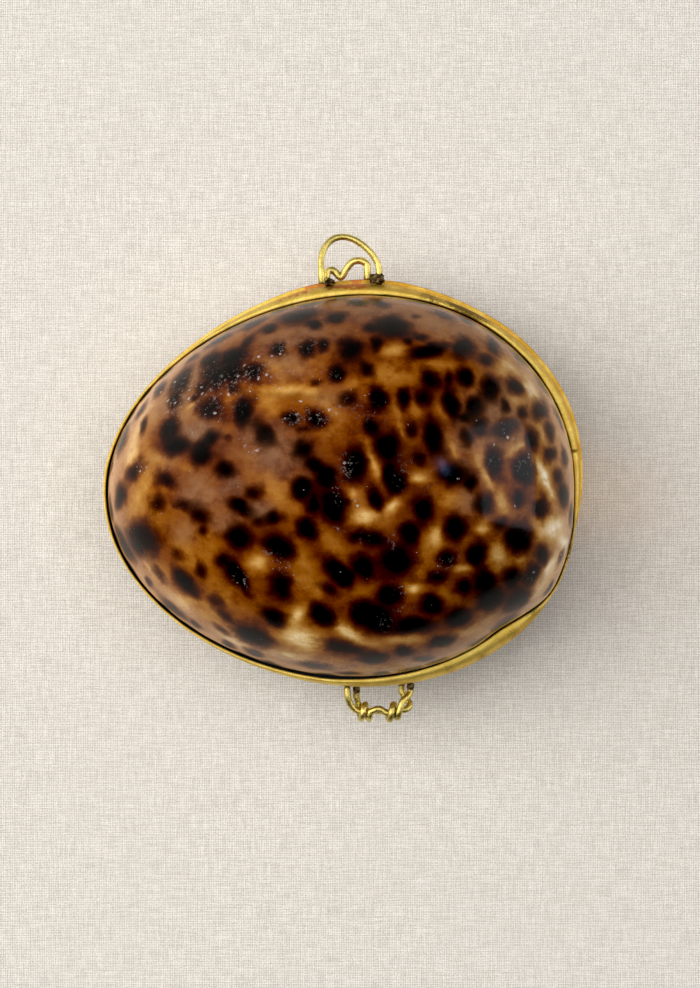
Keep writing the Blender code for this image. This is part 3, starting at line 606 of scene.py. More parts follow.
def brass_material(name, bright, dull, rough):
    """Worn brass: grainy and browned by age, darker at the wire ends from tarnish and painted shade, and
    painted near black as shade on faces hidden behind the wall.
    """
    n = new_material(name)
    grain, cloud = n.noise(0.25, 4, 0.7), n.noise(3.0, 4, 0.6)
    scratch = n.noise(0.55, 6, 0.75, (1.0, 1.0, 5.0), 1.5)
    colour = n.mix(n.range(cloud, 0.35, 0.7), bright, dull)
    colour = n.mix(n.range(grain, 0.3, 0.7, 0.0, 0.35), colour, n.tint(colour, (0.6, 0.5, 0.4)))
    ochre = n.times(n.attribute("ochre"), n.range(cloud, 0.3, 0.6, 0.4, 1.0))
    colour = n.mix(ochre, colour, n.tint(colour, (0.78, 0.58, 0.30)))
    # Tarnish browns the brass; at the wire ends the same mask also carries painted shade
    tarnish_and_shade = n.range(n.plus(scratch, n.attribute("tarnish_and_shade")), 0.84, 1.02)
    colour = n.mix(n.times(tarnish_and_shade, 0.85), colour, (0.10, 0.052, 0.014))
    stain = n.range(n.plus(n.noise(0.9, 4), n.attribute("copper")), 0.90, 1.08)
    colour = n.mix(n.times(stain, 0.85), colour, (0.54, 0.16, 0.040))
    # Painted shade: faces hidden behind the wall go near black and lose their metal
    painted_shade = n.attribute("painted_shade")
    colour = n.mix(painted_shade, colour, (0.004, 0.003, 0.002))
    roughness = n.plus(n.range(grain, 0.3, 0.7, rough - 0.08, rough + 0.08), tarnish_and_shade, 0.15)
    n.set(Base_Color=colour, Metallic=n.range(painted_shade, 0.0, 1.0, 1.0, 0.0, False), Roughness=roughness,
          Normal=n.bump(n.plus(grain, n.noise(1.4, 3)), 0.06))
    return n.owner


def dark_material():
    """Solder and brass blackened by the flame, with brown brass showing here and there."""
    n = new_material("blackened_brass")
    cloud = n.noise(0.6, 4, 0.65)
    colour = n.mix(n.range(cloud, 0.42, 0.72), (0.020, 0.012, 0.006), (0.30, 0.19, 0.07))
    n.set(Base_Color=colour, Metallic=0.8, Roughness=n.range(cloud, 0.3, 0.8, 0.35, 0.7),
          Normal=n.bump(cloud, 0.12))
    return n.owner


def floor_material():
    """Pale linen: a plain weave of slightly uneven threads."""
    n = new_material("floor_cloth")
    uneven = n.noise(3.0, 4, 0.7)
    threads = n.plus(n.threads(0, 0.39, uneven), n.threads(1, 0.40, uneven))
    slubs = n.plus(n.noise(0.38, 2, 0.5, (1.0, 0.1, 1.0)), n.noise(0.38, 2, 0.5, (0.1, 1.0, 1.0)))
    weave = n.plus(n.times(threads, 0.5), n.math("SUBTRACT", slubs, 1.0), 0.9)
    weave = n.vary(weave, n.noise(0.24, 2, 0.6), 1.9)
    colour = n.mix(n.range(weave, 0.06, 0.94, 0.0, 1.0, False), (0.62, 0.575, 0.515), (1.0, 0.965, 0.905))
    colour = n.mix(n.range(n.noise(30, 3), 0.3, 0.7, 0.0, 0.2), colour, (0.78, 0.745, 0.69))
    n.set(Base_Color=colour, Roughness=0.95, Specular_IOR_Level=0.2, Normal=n.bump(weave, 0.06))
    return n.owner


# ---- the shell's back

def vertex_normals(obj):
    flat = np.empty(len(obj.data.vertices) * 3)
    obj.data.vertex_normals.foreach_get("vector", flat)
    return flat.reshape(-1, 3)


FLANK = (2.2, 9.5)               # heights over the split between which spots are drawn at random
SPOT_GAP = 4.4                   # least distance between the middles of those spots
SPOT_TRIES = 900


def add_upper_shell():
    """The spotted back: a dome with an inner face, and its markings as attributes."""
    outer_steps, inner_steps = 300, 75
    radius, angle = disc_grid(outer_steps)
    outer = dome_points(radius.ravel(), angle.ravel())
    # A real shell isn't quite even
    swell = smooth_noise(outer, 16, 1) * 0.16 + smooth_noise(outer, 7, 2) * 0.05
    away = outer - np.array([SHELL[3], SHELL[4], 0])
    away /= np.linalg.norm(away, axis=1, keepdims=True)
    outer += away * (swell * ease(outer[:, 2], 0, 8))[:, None]
    radius, angle = disc_grid(inner_steps)
    inner = dome_points(radius.ravel(), angle.ravel(), SHELL_WALL)
    points = np.concatenate([outer, inner])
    points[:, 2] += SPLIT + FOOT
    faces = grid_faces(outer_steps, 0, False) + grid_faces(inner_steps, len(outer), True)
    outer_ring = grid_rim(outer_steps, 0)
    inner_ring = grid_rim(inner_steps, len(outer))
    ratio = outer_steps // inner_steps
    for k, inner_now in enumerate(inner_ring):
        inner_next = inner_ring[(k + 1) % len(inner_ring)]
        fan = [outer_ring[(k * ratio + i) % len(outer_ring)] for i in range(ratio + 1)]
        faces.append((inner_now, inner_next, *reversed(fan)))
    shell = new_piece("cowrie_back", to_row(points), faces, ["upper_shell"], back_material())
    normals = vertex_normals(shell)
    outside = np.arange(len(points)) < len(outer)
    glaze = points[outside]
    place = (glaze, normals[outside], seen(glaze))
    warp = shake(glaze, 3.0, 3) * 0.62 + shake(glaze, 1.1, 6) * 0.24
    level = glaze[:, 2] - SPLIT
    low, high = FLANK
    flank = np.flatnonzero((level > low) & (level < high) & (normals[outside][:, 2] < 0.5))
    spots, draw = list(SPOTS), random.Random(7)
    placed = [glaze[np.argmin(((place[2] - row[:2]) ** 2).sum(1))] for row in SPOTS]
    for _ in range(SPOT_TRIES):
        k = draw.choice(flank)
        if min(np.linalg.norm(glaze[k] - other) for other in placed) < SPOT_GAP:
            continue
        placed.append(glaze[k])
        side = math.degrees(math.atan2(normals[k, 1], normals[k, 0])) + 90
        spots.append((*place[2][k], draw.uniform(2.2, 4.0), draw.uniform(0.8, 1.3), side,
                      draw.uniform(0.55, 0.9)))
    dark, bleed = ellipse_fields(*place, spots, [core, halo], warp)
    fields = {"spot": dark, "halo": bleed}
    for name, table in (("gold", GOLD), ("cream", CREAM), ("chips", CHIPS), ("film_and_sheen", FILM_AND_SHEEN), ("dusk", DUSK)):
        fields[name] = np.clip(ellipse_fields(*place, table, [patch], warp)[0], 0, 1)
    # Broad zones: a pale margin, the painted milky sheen of reflection along it, matt and polished glaze,
    # the browner crown
    x, y = glaze[:, 0], glaze[:, 1]
    margin = 1 - ease(level, 3, 17)
    turn = np.degrees(np.arctan2(y, x))
    fields["pale"] = margin * 0.95 * (1 - 0.7 * ease(y, 8, 24) * ease(x, -36, -16))
    fields["margin_sheen"] = margin * np.interp(turn, *zip(*MARGIN_SHEEN), period=360)
    fields["matt"] = (1 - ease(level, 4, 15)) * (1 - ease(y, -8, 8)) * (1 - ease(x, -2, 12))
    fields["polish"] = ease(x, 9, 16) * ease(y, -14, -4) * (1 - ease(y, 18, 26))
    fields["umber"] = ease(level, 13, 25) * (0.75 + 0.25 * ease(x, -14, 10))
    fields["right"] = ease(place[2][:, 0], 14, 30)
    for name, values in fields.items():
        everywhere = np.zeros(len(points))
        everywhere[outside] = values
        set_attribute(shell, name, everywhere)
    set_attribute(shell, "inside", 1.0 - outside)
    return shell


# ---- the shell's base

def base_height(plan, height, inset=0.0):
    """Depth of the base's surface below its rim over a plan place."""
    centre = np.array(SHELL[3:])
    away = plan - centre
    cos, sin = math.cos(-AXIS_LEAN), math.sin(-AXIS_LEAN)
    along = away[:, 0] * cos - away[:, 1] * sin
    across = away[:, 0] * sin + away[:, 1] * cos
    angle = np.arctan2(across / SHELL[1], along / SHELL[0])
    rim = shell_points(angle) - outline_normals(SHELL, angle) * inset - centre
    share = np.clip(np.linalg.norm(away, axis=1) / np.linalg.norm(rim, axis=1), 0, 1)
    return (height - inset) * (1 - share ** BASE_POWER) ** (1 / BASE_POWER)


def aperture_middle(x):
    """How far across the slit's middle line lies: it bows away from the bail."""
    return SHELL[4] - APERTURE_BOW * np.cos(math.pi / 2 * x / APERTURE_HALF)


def aperture_edge(angle):
    """The aperture's edge in plan: a long bowed slit with rounded ends."""
    x = APERTURE_HALF * np.sign(np.cos(angle)) * np.abs(np.cos(angle)) ** 0.9
    share = (x / APERTURE_HALF + 1) / 2
    width = APERTURE_WIDE + (APERTURE_NARROW - APERTURE_WIDE) * share ** 0.6
    end = np.abs(np.sin(angle)) ** 0.35 * np.sign(np.sin(angle))
    return np.stack([x, aperture_middle(x) + end * width / 2], -1)


TEETH = (27, 24)                 # across the slit's length, on the bail's side and on the other
LIP_ROLL = 1.2                   # how far in from its outer edge a lip turns upward
BASE_SPOT_GAP = 4.6              # least distance between the middles of two spots


def add_lower_shell():
    """The base: rolled and toothed lips round a bowed slit, and an inner face."""
    around, outer_steps, lip_steps, inner_steps = 760, 46, 12, 20
    depth = SPLIT + BASE_WORN_FLAT - FOOT
    angle = np.linspace(0, TAU, around, endpoint=False)
    lip, rim = aperture_edge(angle), shell_points(angle)
    inner_rim = rim - outline_normals(SHELL, angle) * BASE_WALL
    outward = rim - lip
    outward /= np.linalg.norm(outward, axis=1, keepdims=True)
    # The teeth are ridges across both lips, and fade at the ends of the slit
    tooth = 0.5 + 0.5 * np.cos(lip[:, 0] / (2 * APERTURE_HALF) * np.where(angle < math.pi, *TEETH) * TAU)
    tooth = tooth ** 1.5 * ease(np.abs(np.sin(angle)), 0.12, 0.35)
    rows, groove, inside = [], [], []

    def add_row(plan, level, grooved, how_far_inside):
        rows.append(np.column_stack([plan, level]))
        groove.append(grooved)
        inside.append(np.full(around, how_far_inside))

    for k in range(outer_steps + 1):                # from the cut edge down to the lips
        share = 1 - k / outer_steps
        start = lip + outward * LIP_ROLL
        plan = start + (rim - start) * math.sin(share * math.pi / 2) ** 0.85
        reach = np.linalg.norm(plan - lip, axis=1)
        roll = 1.6 * np.exp(-(reach / 2.2) ** 1.5)
        teeth = tooth * 0.55 * np.exp(-((reach - 1.4) / 3.2) ** 2) * ease(roll, 0.0, 0.5)
        level = np.maximum(-base_height(plan, depth), BASE_WORN_FLAT - depth) + roll - teeth
        add_row(plan, level, (1 - tooth) * np.exp(-(reach / 2.0) ** 2), 0.0)
    for k in range(1, lip_steps):                   # round the lips and up into the slit
        share = k / lip_steps
        turn = share * math.pi
        step = LIP_ROLL * (1 - math.sin(turn / 2)) - tooth * 0.45 * math.sin(turn)
        level = rows[outer_steps][:, 2] + 4.2 * share ** 1.2
        add_row(lip + outward * step[:, None], level, (1 - tooth) * (1 - share), share * 0.6)
    top = rows[-1]
    for k in range(1, inner_steps + 1):             # back over the inner face to the cut edge
        share = k / inner_steps
        plan = top[:, :2] + (inner_rim - top[:, :2]) * math.sin(share * math.pi / 2) ** 0.85
        level = -base_height(plan, depth, BASE_WALL)
        lift = (top[:, 2] - level) * np.exp(-(share * 3.2) ** 2)
        add_row(plan, level + lift, np.zeros(around), 1.0)
    points = np.concatenate(rows)
    points[:, 2] = np.maximum(points[:, 2] + SPLIT - FOOT, 0.01)
    faces = ring_faces(len(rows), around, closed=True)
    shell = new_piece("cowrie_base", to_row(points), faces, ["lower_shell"], base_material())
    inside = np.concatenate(inside)
    warp = shake(points, 3.0, 3) * 0.8
    spot, placed = np.zeros(len(points)), []
    for _ in range(SPOT_TRIES):
        place = points[random.randrange(0, around * outer_steps)]
        if place[2] < 4.0 + random.random() * 3 or place[2] > 13.5:
            continue
        if any(np.linalg.norm(place - other) < BASE_SPOT_GAP for other in placed):
            continue
        placed.append(place)
        size = random.uniform(1.2, 2.0)
        far = np.linalg.norm((points + warp - place) * np.array([1, 1, 1.15]), axis=1) / size
        spot += (1 - ease(far, 0.6, 1.4)) * random.uniform(0.65, 1.0)
    set_attribute(shell, "belly", 1 - ease(points[:, 2], 2.2, 8.5))
    set_attribute(shell, "groove", np.clip(np.concatenate(groove), 0, 1) * 0.7)
    set_attribute(shell, "inside", inside)
    set_attribute(shell, "spot", spot * (1 - inside > 0.9))
    return shell


# ---- brass

def rounded_section(corners, radius, steps):
    """Closed sections with their corners rounded. Corners is an array of section, corner and x, y, z."""
    out = []
    count = corners.shape[1]
    for k in range(count):
        here, before, after = corners[:, k], corners[:, k - 1], corners[:, (k + 1) % count]
        to_before, to_after = before - here, after - here
        length_b = np.linalg.norm(to_before, axis=1, keepdims=True)
        length_a = np.linalg.norm(to_after, axis=1, keepdims=True)
        cut_b = np.minimum(radius, length_b * 0.45)
        cut_a = np.minimum(radius, length_a * 0.45)
        start = here + to_before / length_b * cut_b
        end = here + to_after / length_a * cut_a
        for i in range(steps + 1):
            t = i / steps
            out.append((1 - t) ** 2 * start + 2 * t * (1 - t) * here + t * t * end)
    return np.stack(out, 1)


# How far the hammered collars stand out beyond their even outline: direction in degrees, millimetres
DENTS = [
    (-170, .1), (-150, -.15), (-120, 0), (-80, 0), (-60, .15), (-45, .4), (-37, .55), (-30, .45),
    (-24, .1), (-19, -.25), (-13, -.42), (-6, -.3), (0, -.1), (6, .1), (19, .3), (27, .05), (37, -.25),
    (44, -.4), (50, -.7), (62, -.72), (68, -.4), (75, -.05), (85, .1), (101, .38), (110, .1),
    (125, -.1), (136, -.3), (150, -.1), (175, .15),
]


def by_direction(degrees, table, column=1):
    """The table's value for each direction, with a straight run between its rows."""
    table = np.array(table)
    return np.interp(degrees, table[:, 0], table[:, column], period=360)


def dents(places):
    """How far out the collars stand at those plan places, with the table's corners rounded off."""
    direction = np.degrees(np.arctan2(places[:, 1], places[:, 0]))
    return sum(0.25 * by_direction(direction + turn, DENTS) for turn in (-3, -1.5, 1.5, 3))


# The upper collar's lip: direction round the case in degrees, gap to the shell, height. It dips under
# the shell where that bulges.
LIP = [
    (-165, .5, 3.3), (-140, .42, 3.3), (-120, .48, 3.3), (-95, .6, 3.3), (-75, .3, 3.3), (-60, .1, 3.3),
    (-50, .3, 3), (-42, .3, 2), (-34, .22, 1.2), (-22, .2, 1.2), (-10, .14, 1.9), (5, .1, 2.6),
    (16, .14, 3.2), (30, .18, 3.3), (48, .28, 3.3), (65, .25, 3.3), (78, .15, 3.3), (95, .15, 3.3),
    (115, .18, 3.3), (135, .22, 3.3), (155, .35, 3.3), (175, .5, 3.3),
]


def lip_places(angles):
    """Offset from the girth and height of the upper collar's lip: it follows the shell's flank in."""
    gap, level = by_direction(np.degrees(angles), LIP), by_direction(np.degrees(angles), LIP, 2)
    rise = np.clip(level - GAP, 0, None) / (DOME_HEIGHT - FOOT)
    radius = 2 / math.pi * np.arccos(rise ** (DOME_POWER / 2))
    flank = dome_points(radius, angles)[:, :2]
    inward = ((flank - shell_points(angles)) * outline_normals(SHELL, angles)).sum(1)
    return (inward + gap)[:, None], level[:, None]


def add_collar(name, node, rim, up, closed, material):
    """A sheet-brass collar: a wall that curves in to a lip, and a flange between the shells.

    Up is 1 for the upper collar and -1 for the lower. Gives the piece and its points.
    """
    around = 720
    if closed:
        angles = np.linspace(0, TAU, around, endpoint=False)
    else:
        open_half = SEAM_OPEN / 2 / UPPER_RIM[0]
        angles = np.linspace(SEAM_ANGLE + open_half, SEAM_ANGLE + TAU - open_half, around)
    shell = shell_points(angles)
    normal = outline_normals(SHELL, angles)
    stand = ((outline_points(rim, angles) - shell) * normal).sum(1)
    stand = np.maximum(stand + dents(shell), 0.5)[:, None]
    ring = np.column_stack([shell, np.zeros(around)])
    # Slight waves left by the hammer, which make the wall and the lip uneven
    ripple = (smooth_noise(ring, 9, 20 + up) * 0.09 + smooth_noise(ring, 3, 22 + up) * 0.035)[:, None]
    ripple = ripple * ease(stand, 0.5, 0.8)
    lip, level = lip_places(angles) if up > 0 else (GAP * np.ones((around, 1)), COLLAR_HEIGHT - RIPPLE_ROOM)
    lip = lip + ripple * 0.5
    height = level + ripple * 1.2

    def corner(offset, level):
        return np.column_stack([shell + normal * offset, np.ones(around) * np.ravel(level)])

    wall = [(math.cos(turn) ** 0.9, math.sin(turn) ** 0.9) for turn in np.linspace(0, math.pi / 2, 10)]
    reach = stand + ripple - lip - BRASS_SHEET
    corners = [corner(lip + BRASS_SHEET + reach * out, height * rise) for out, rise in wall]
    corners.append(corner(lip, height - 0.05))
    corners += [corner(lip + reach * out, (height - BRASS_SHEET) * rise) for out, rise in reversed(wall[1:])]
    inmost = -(SHELL_WALL + GAP)
    corners += [corner(stand - BRASS_SHEET + ripple, BRASS_SHEET), corner(inmost, BRASS_SHEET),
                corner(inmost, 0)]
    sections = rounded_section(np.stack(corners, 1), EDGE_RADIUS, 2)
    per = sections.shape[1]
    points = sections.reshape(-1, 3).copy()
    points[:, 2] = SPLIT + up * (GAP / 2 + points[:, 2])
    faces = ring_faces(around, per, closed)
    if not closed:
        faces += [list(range(per))[::-1], list(range((around - 1) * per, around * per))]
    if up < 0:
        faces = [face[::-1] for face in faces]
    piece = new_piece(name, to_row(points), faces, [node], material)
    fix_normals(piece)
    # Which points are out of sight behind the wall, painted near black as shade, and how far down the wall
    # the others are
    number = np.tile(np.repeat(np.arange(len(corners)), per // len(corners)), around)
    set_attribute(piece, "painted_shade", (number > len(wall)).astype(float))
    aged = 0.25 + 0.75 * ease(np.cos(np.repeat(angles, per) - math.radians(20)), -0.1, 0.7)
    foot = np.clip(1 - number / (len(wall) - 1), 0, 1) ** 0.7
    set_attribute(piece, "ochre", foot * (number < len(wall)) * aged)
    return piece, points


def fix_normals(obj, merge=None):
    """Turns the faces outward, after merging points closer than that many metres."""
    bm = bmesh.new()
    bm.from_mesh(obj.data)
    if merge:
        bmesh.ops.remove_doubles(bm, verts=bm.verts[:], dist=merge)
    bmesh.ops.recalc_face_normals(bm, faces=bm.faces[:])
    bm.to_mesh(obj.data)
    bm.free()
    obj.data.shade_smooth()


def near(points, table):
    """0 to 1: closeness to any of a few plan places (x, y, reach, strength)."""
    total = np.zeros(len(points))
    for x, y, reach, strength in table:
        total += strength * np.exp(-((points[:, 0] - x) ** 2 + (points[:, 1] - y) ** 2) / reach ** 2)
    return np.clip(total, 0, 1)


# Brown tarnish and copper-red stains on the collars: x, y, reach, strength
UPPER_TARNISH = [
    (21, 29.6, 4, .56), (10, 33.4, 1.5, .4), (18.4, 31.4, 2, .3), (14, 31.8, 3, .46), (28, 25, 3, .36),
    (24.5, 28, 2, .2), (9, -32, 3, .25), (-8, 33, 4, .15), (37, 12, 4, .2), (17.5, -31, 2.6, .4),
    (23, -28.6, 2.2, .4), (28, -25, 2.5, .4), (31.5, -21, 2.5, .4), (-27, 22.5, 6, .22),
    (-36, 14, 5, .12), (36.8, -11, 6, .43), (-20, 28, 6, .24),
]
UPPER_COPPER = [
    (-11.5, 32.4, 2.4, .62), (-7.5, 33.3, 2.6, .72), (-2.6, 34, 1.8, .74), (.4, 34, 2, .72),
    (3, 33.9, 1.6, .74), (6.6, 34.2, 1, .7),
]
LOWER_TARNISH = [(34, 14, 7, .2), (26, -26, 5, .15), (36.8, -11, 6, .43)]
LOWER_COPPER = [(-5, 34, 3, .6), (2, 34.5, 3, .6)]


def add_collars():
    upper = brass_material("collar_brass", (0.90, 0.70, 0.18), (0.78, 0.56, 0.11), 0.55)
    lower = brass_material("lower_collar_brass", (0.90, 0.68, 0.16), (0.80, 0.57, 0.11), 0.5)
    rows = [("upper_collar", UPPER_RIM, 1, False, "upper_brass", upper, UPPER_TARNISH, UPPER_COPPER),
            ("lower_collar", LOWER_RIM, -1, True, "lower_brass", lower, LOWER_TARNISH, LOWER_COPPER)]
    for node, rim, up, closed, slot, material, tarnish_and_shade, copper in rows:
        piece, points = add_collar(node + "_band", node, rim, up, closed, material)
        set_attribute(piece, "tarnish_and_shade", near(points, tarnish_and_shade))
        set_attribute(piece, "copper", near(points, copper))


# ---- wires and eyelets

def smooth_route(points, steps):
    """Points of a smooth curve through the route's own points."""
    points = [Vector(p) for p in points]
    ends = [2 * points[0] - points[1]] + points + [2 * points[-1] - points[-2]]
    route = []
    for before, start, end, after in zip(ends, ends[1:], ends[2:], ends[3:]):
        for k in range(steps):
            t = k / steps
            route.append(0.5 * (2 * start + (end - before) * t
                                + (2 * before - 5 * start + 4 * end - after) * t ** 2
                                + (3 * start - before - 3 * end + after) * t ** 3))
    return route + [points[-1]]


def wrap_points(start, end, first_turn, last_turn, count):
    """Places on a helix round the line from start to end."""
    start, end = Vector(start), Vector(end)
    places = []
    for k in range(count + 1):
        share = k / count
        turn = TAU * (first_turn + (last_turn - first_turn) * share)
        middle = start.lerp(end, share)
        places.append(middle + Vector((0, math.cos(turn), math.sin(turn))) * WIRE_PASS)
    return places


def add_wire(name, node, route, steps, material, thick):
    """A drawn wire: a round tube along the route, with filed ends and slight tool marks."""
    places = smooth_route(route, steps)
    points, count = [], len(places)
    up = (places[1] - places[0]).normalized().orthogonal().normalized()
    for k, place in enumerate(places):
        ahead = places[min(k + 1, count - 1)] - places[max(k - 1, 0)]
        ahead.normalize()
        up = (up - ahead * up.dot(ahead)).normalized()
        side = ahead.cross(up)
        marks = 1 + 0.04 * noise.noise(place * 0.9) + 0.025 * noise.noise(place * 2.7)
        radius = thick * marks * (0.8 if k in (0, count - 1) else 1.0)
        for s in range(WIRE_SIDES):
            turn = TAU * s / WIRE_SIDES
            points.append(place + (up * math.cos(turn) + side * math.sin(turn)) * radius)
    faces = ring_faces(count, WIRE_SIDES)
    faces += [list(range(WIRE_SIDES))[::-1], list(range((count - 1) * WIRE_SIDES, count * WIRE_SIDES))]
    points = np.array([tuple(p) for p in points])
    points[:, 2] += SPLIT
    wire = new_piece(name, to_row(points), faces, [node], material)
    fix_normals(wire)
    return wire, points


def add_lump(name, node, centre, size, power, rough, seed, slot, material):
    """A hand-made blob of solder and metal, with blunt corners and a lumpy face."""
    steps, rings = 40, 24
    points = []
    for r in range(rings + 1):
        height = -math.pi / 2 + math.pi * r / rings
        for k in range(steps):
            turn = TAU * k / steps
            unit = Vector((math.cos(height) * math.cos(turn), math.cos(height) * math.sin(turn),
                           math.sin(height)))
            blunt = sum(abs(c) ** power for c in unit) ** (-1 / power)
            lump = 1 + rough * noise.noise(unit * 1.7 + Vector((seed, 0, 0)))
            lump += rough * 0.5 * noise.noise(unit * 4.5 + Vector((0, seed, 0)))
            place = unit * blunt * lump
            points.append([centre[i] + place[i] * size[i] / 2 for i in range(3)])
    points = np.array(points)
    points[:, 2] += SPLIT
    faces = ring_faces(rings + 1, steps)
    fix_normals(new_piece(name, to_row(points), faces, [node], material), 1e-6)


def add_fittings():
    wire = brass_material("wire_brass", (0.82, 0.66, 0.20), (0.46, 0.37, 0.09), 0.30)
    dark = dark_material()
    bail = [(-3.85, 33.3, 3.7), (-3.95, 35.6, 3.75), (-3.9, 37.8, 3.3), (-3.1, 39.8, 2.8),
            (-1.6, 41.0, 2.4), (0.4, 41.15, 2.1), (2.5, 40.2, 1.9), (4.4, 38.5, 1.8),
            (5.55, 36.4, 1.7), (5.6, 34.2, 1.7)]
    catch = [(-3.0, 33.8, 1.9), (-3.0, 35.0, 1.8), (-2.5, 35.7, 1.7), (-1.7, 35.5, 1.6),
             (-0.7, 34.55, 1.6), (0.2, 35.9, 1.7), (1.3, 37.1, 1.8), (2.5, 37.3, 1.8),
             (3.5, 36.8, 1.8), (3.7, 35.9, 1.8), (3.7, 34.1, 1.8)]
    left_knot = [(4.3, -37.8, -0.6), (2.4, -37.8, -0.6)]
    right_knot = [(7.1, -38.0, 0.6), (9.0, -37.5, 0.6)]
    left = [(0.35, -33.5, 0.35), (0.5, -35.5, 0.2), (1.2, -37.0, -0.3), left_knot[1], left_knot[0],
            (5.6, -37.7, -0.6)]
    left += wrap_points(*right_knot, 0.75, -0.72, 12)
    left += [(9.6, -35.9, 1.6), (10.4, -35.2, 0.8), (10.85, -34.6, 0.35), (10.9, -34.0, 0.3)]
    right = [(9.5, -33.1, -0.6), (9.5, -34.5, -0.85), (10.2, -35.6, -0.8), (10.8, -36.6, -0.2),
             (10.2, -37.4, 0.4), right_knot[1], right_knot[0], (5.7, -37.3, 0.6)]
    right += wrap_points(*left_knot, 0.25, 1.75, 12)
    right += [(2.15, -36.3, -1.6), (1.9, -35.5, -1.35), (1.9, -34.6, -1.3)]
    wires = [("bail_wire", "bail", bail, 12, WIRE_LOOK), ("catch_loop", "catch_wire", catch, 9, CATCH_LOOK),
             ("left_link", "link_wire_left", left, 5, WIRE_LOOK),
             ("right_link", "link_wire_right", right, 5, WIRE_LOOK)]
    for name, node, route, steps, thick in wires:
        piece, points = add_wire(name, node, route, steps, wire, thick)
        # The wire ends darken toward the solder: partly tarnish, partly painted shade where the wires meet
        # the lumps and the collar
        ends = np.minimum(np.linalg.norm(points - points[:WIRE_SIDES].mean(0), axis=1),
                          np.linalg.norm(points - points[-WIRE_SIDES:].mean(0), axis=1))
        set_attribute(piece, "tarnish_and_shade", 0.12 + 0.35 * (1 - ease(ends, 0.3, 2.2)))
        for plain in ("copper", "ochre", "painted_shade"):
            set_attribute(piece, plain, np.zeros(len(points)))
    # Which corner, centre, size, bluntness, roughness, seed
    lumps = [("top_left", (-2.8, 33.75, 1.7), (2.1, 1.2, 1.8), 2.6, 0.45, 3.1),
             ("top_right", (5.3, 34.3, 1.7), (2.1, 1.6, 1.9), 3.0, 0.40, 7.4),
             ("bottom_left", (1.9, -34.2, -1.3), (1.15, 1.2, 1.2), 3.0, 0.25, 1.2),
             ("bottom_right", (10.9, -33.5, 0.3), (1.2, 1.2, 1.2), 3.0, 0.25, 5.8)]
    for where, *shape in lumps:
        add_lump("solder_" + where, "eyelet_" + where, *shape, "blackened_brass", dark)


# ---- stage, in metres and watts
FLOOR_HALF = 1.6
FLOOR_DROP = 0.0002              # keeps the cloth clear of the base
SENSOR = 36.0                    # millimetres
VIEW_WIDTH = 116.7               # what the picture's width takes in on the level of the split, millimetres
BLACK_POINT = (0.005, 0.004, 0.004)


def add_floor():
    mesh = bpy.data.meshes.new("floor")
    corners = [(x * FLOOR_HALF, y * FLOOR_HALF, 0) for x, y in ((-1, -1), (1, -1), (1, 1), (-1, 1))]
    mesh.from_pydata(corners, [], [(0, 1, 2, 3)])
    mesh.materials.append(floor_material())
    floor = new_object("floor", mesh)
    floor.location.z = -FLOOR_DROP


def add_light(name, place, target, size, power, colour):
    data = bpy.data.lights.new(name, "AREA")
    data.shape = "RECTANGLE"
    data.size, data.size_y = size
    data.energy = power
    data.color = colour
    light = new_object(name, data)
    light.location = place
    light.rotation_euler = (Vector(target) - Vector(place)).to_track_quat("-Z", "Y").to_euler()
    return light


# Broad glows round the room: direction round the case in degrees, height in degrees, tightness,
# brightness, colour
GLOWS = [
    (150, 10, 9.0, 1.1, (1.0, 0.97, 0.93)),
    (100, 18, 8.0, 0.35, (1.0, 0.98, 0.95)),
    (14, 20, 9.0, 0.5, (0.94, 0.97, 1.0)),
    (-100, 0, 4.0, 0.10, (1.0, 0.98, 0.96)),
]


def around(turn, height, distance):
    """A place at that direction and height in degrees from the case."""
    turn, height = math.radians(turn), math.radians(height)
    return (distance * math.cos(turn) * math.cos(height), distance * math.sin(turn) * math.cos(height),
            distance * math.sin(height))


def add_world():
    world = bpy.data.worlds.new("studio")
    bpy.context.scene.world = world
    n = Nodes(world)
    direction = n.node("TexCoord", {})["Generated"]
    total = (0.0, 0.0, 0.0)
    for turn, height, tightness, brightness, colour in GLOWS:
        facing = n.node("VectorMath", {0: direction, 1: around(turn, height, 1)}, operation="DOT_PRODUCT")
        power = n.math("EXPONENT", n.math("MULTIPLY_ADD", facing["Value"], tightness, -tightness))
        glow = n.node("VectorMath", {0: [c * brightness for c in colour], "Scale": power},
                      operation="SCALE")
        total = n.vector("ADD", total, glow[0])
    n.put(n.tree.nodes["Background"].inputs["Color"], total)


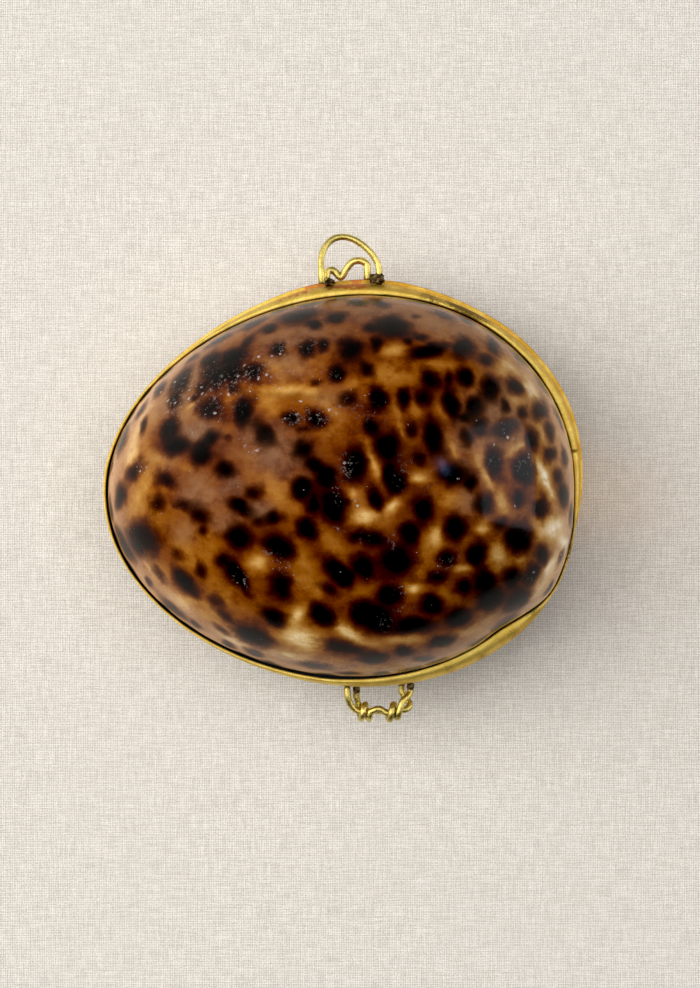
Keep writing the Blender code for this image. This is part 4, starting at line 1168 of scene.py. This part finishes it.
def light_only(light, pieces):
    """Lets a light fall on those pieces only."""
    group = bpy.data.collections.new(light.name + "_lit")
    for piece in pieces:
        group.objects.link(piece)
    light.light_linking.receiver_collection = group


def add_lights(glossy, others):
    middle = (0, 0, 0.02)
    # The shell is polished and would mirror these two as hard squares: it gets their light only
    for name, lit, mirrored in (("others", others, True), ("shell", glossy, False)):
        key = add_light("key_on_" + name, (-1.08, 0.14, 1.02), middle, (1.2, 1.2), 16.8, (1.0, 0.975, 0.94))
        top = add_light("overhead_on_" + name, (0.0, 0.2, 1.5), middle, (1.6, 1.6), 14.4, (1.0, 0.99, 0.97))
        for light in (key, top):
            light_only(light, lit)
            light.visible_glossy = mirrored
    card = add_light("side_card", around(8, 21, 1.5), middle, (1.05, 1.35), 9.0, (0.95, 0.96, 1.0))
    glint = add_light("window_glint", around(15, 62, 1.2), middle, (0.13, 0.05), 0.20, (0.35, 0.5, 1.0))
    # Light that the brass throws down on the cloth
    warm = add_light("brass_bounce", (0.044, -0.003, 0.009), (0.049, -0.004, 0.0), (0.010, 0.05), 0.00036,
                     (1.0, 0.5, 0.1))
    for light in (card, glint, warm):
        light.visible_camera = False
    warm.visible_glossy = False
    light_only(card, [piece for piece in glossy + others if piece.name != "floor"])
    add_world()


def add_camera():
    """Looks straight down from the eye, with the picture's top towards +Y."""
    data = bpy.data.cameras.new("camera")
    data.sensor_fit = "HORIZONTAL"
    data.sensor_width = SENSOR
    data.lens = SENSOR * EYE_HEIGHT / VIEW_WIDTH
    data.clip_start = 0.01
    data.clip_end = 20
    camera = new_object("camera", data)
    camera.location = to_row([*EYE, SPLIT + EYE_HEIGHT])
    bpy.context.scene.camera = camera


shells = [add_upper_shell(), add_lower_shell()]
add_collars()
add_fittings()
add_floor()
add_lights(shells, [obj for obj in bpy.context.scene.objects if obj.type == "MESH" and obj not in shells])
add_camera()

look = bpy.context.scene.view_settings
look.view_transform = "Standard"
look.use_curve_mapping = True
look.curve_mapping.black_level = BLACK_POINT
look.curve_mapping.update()
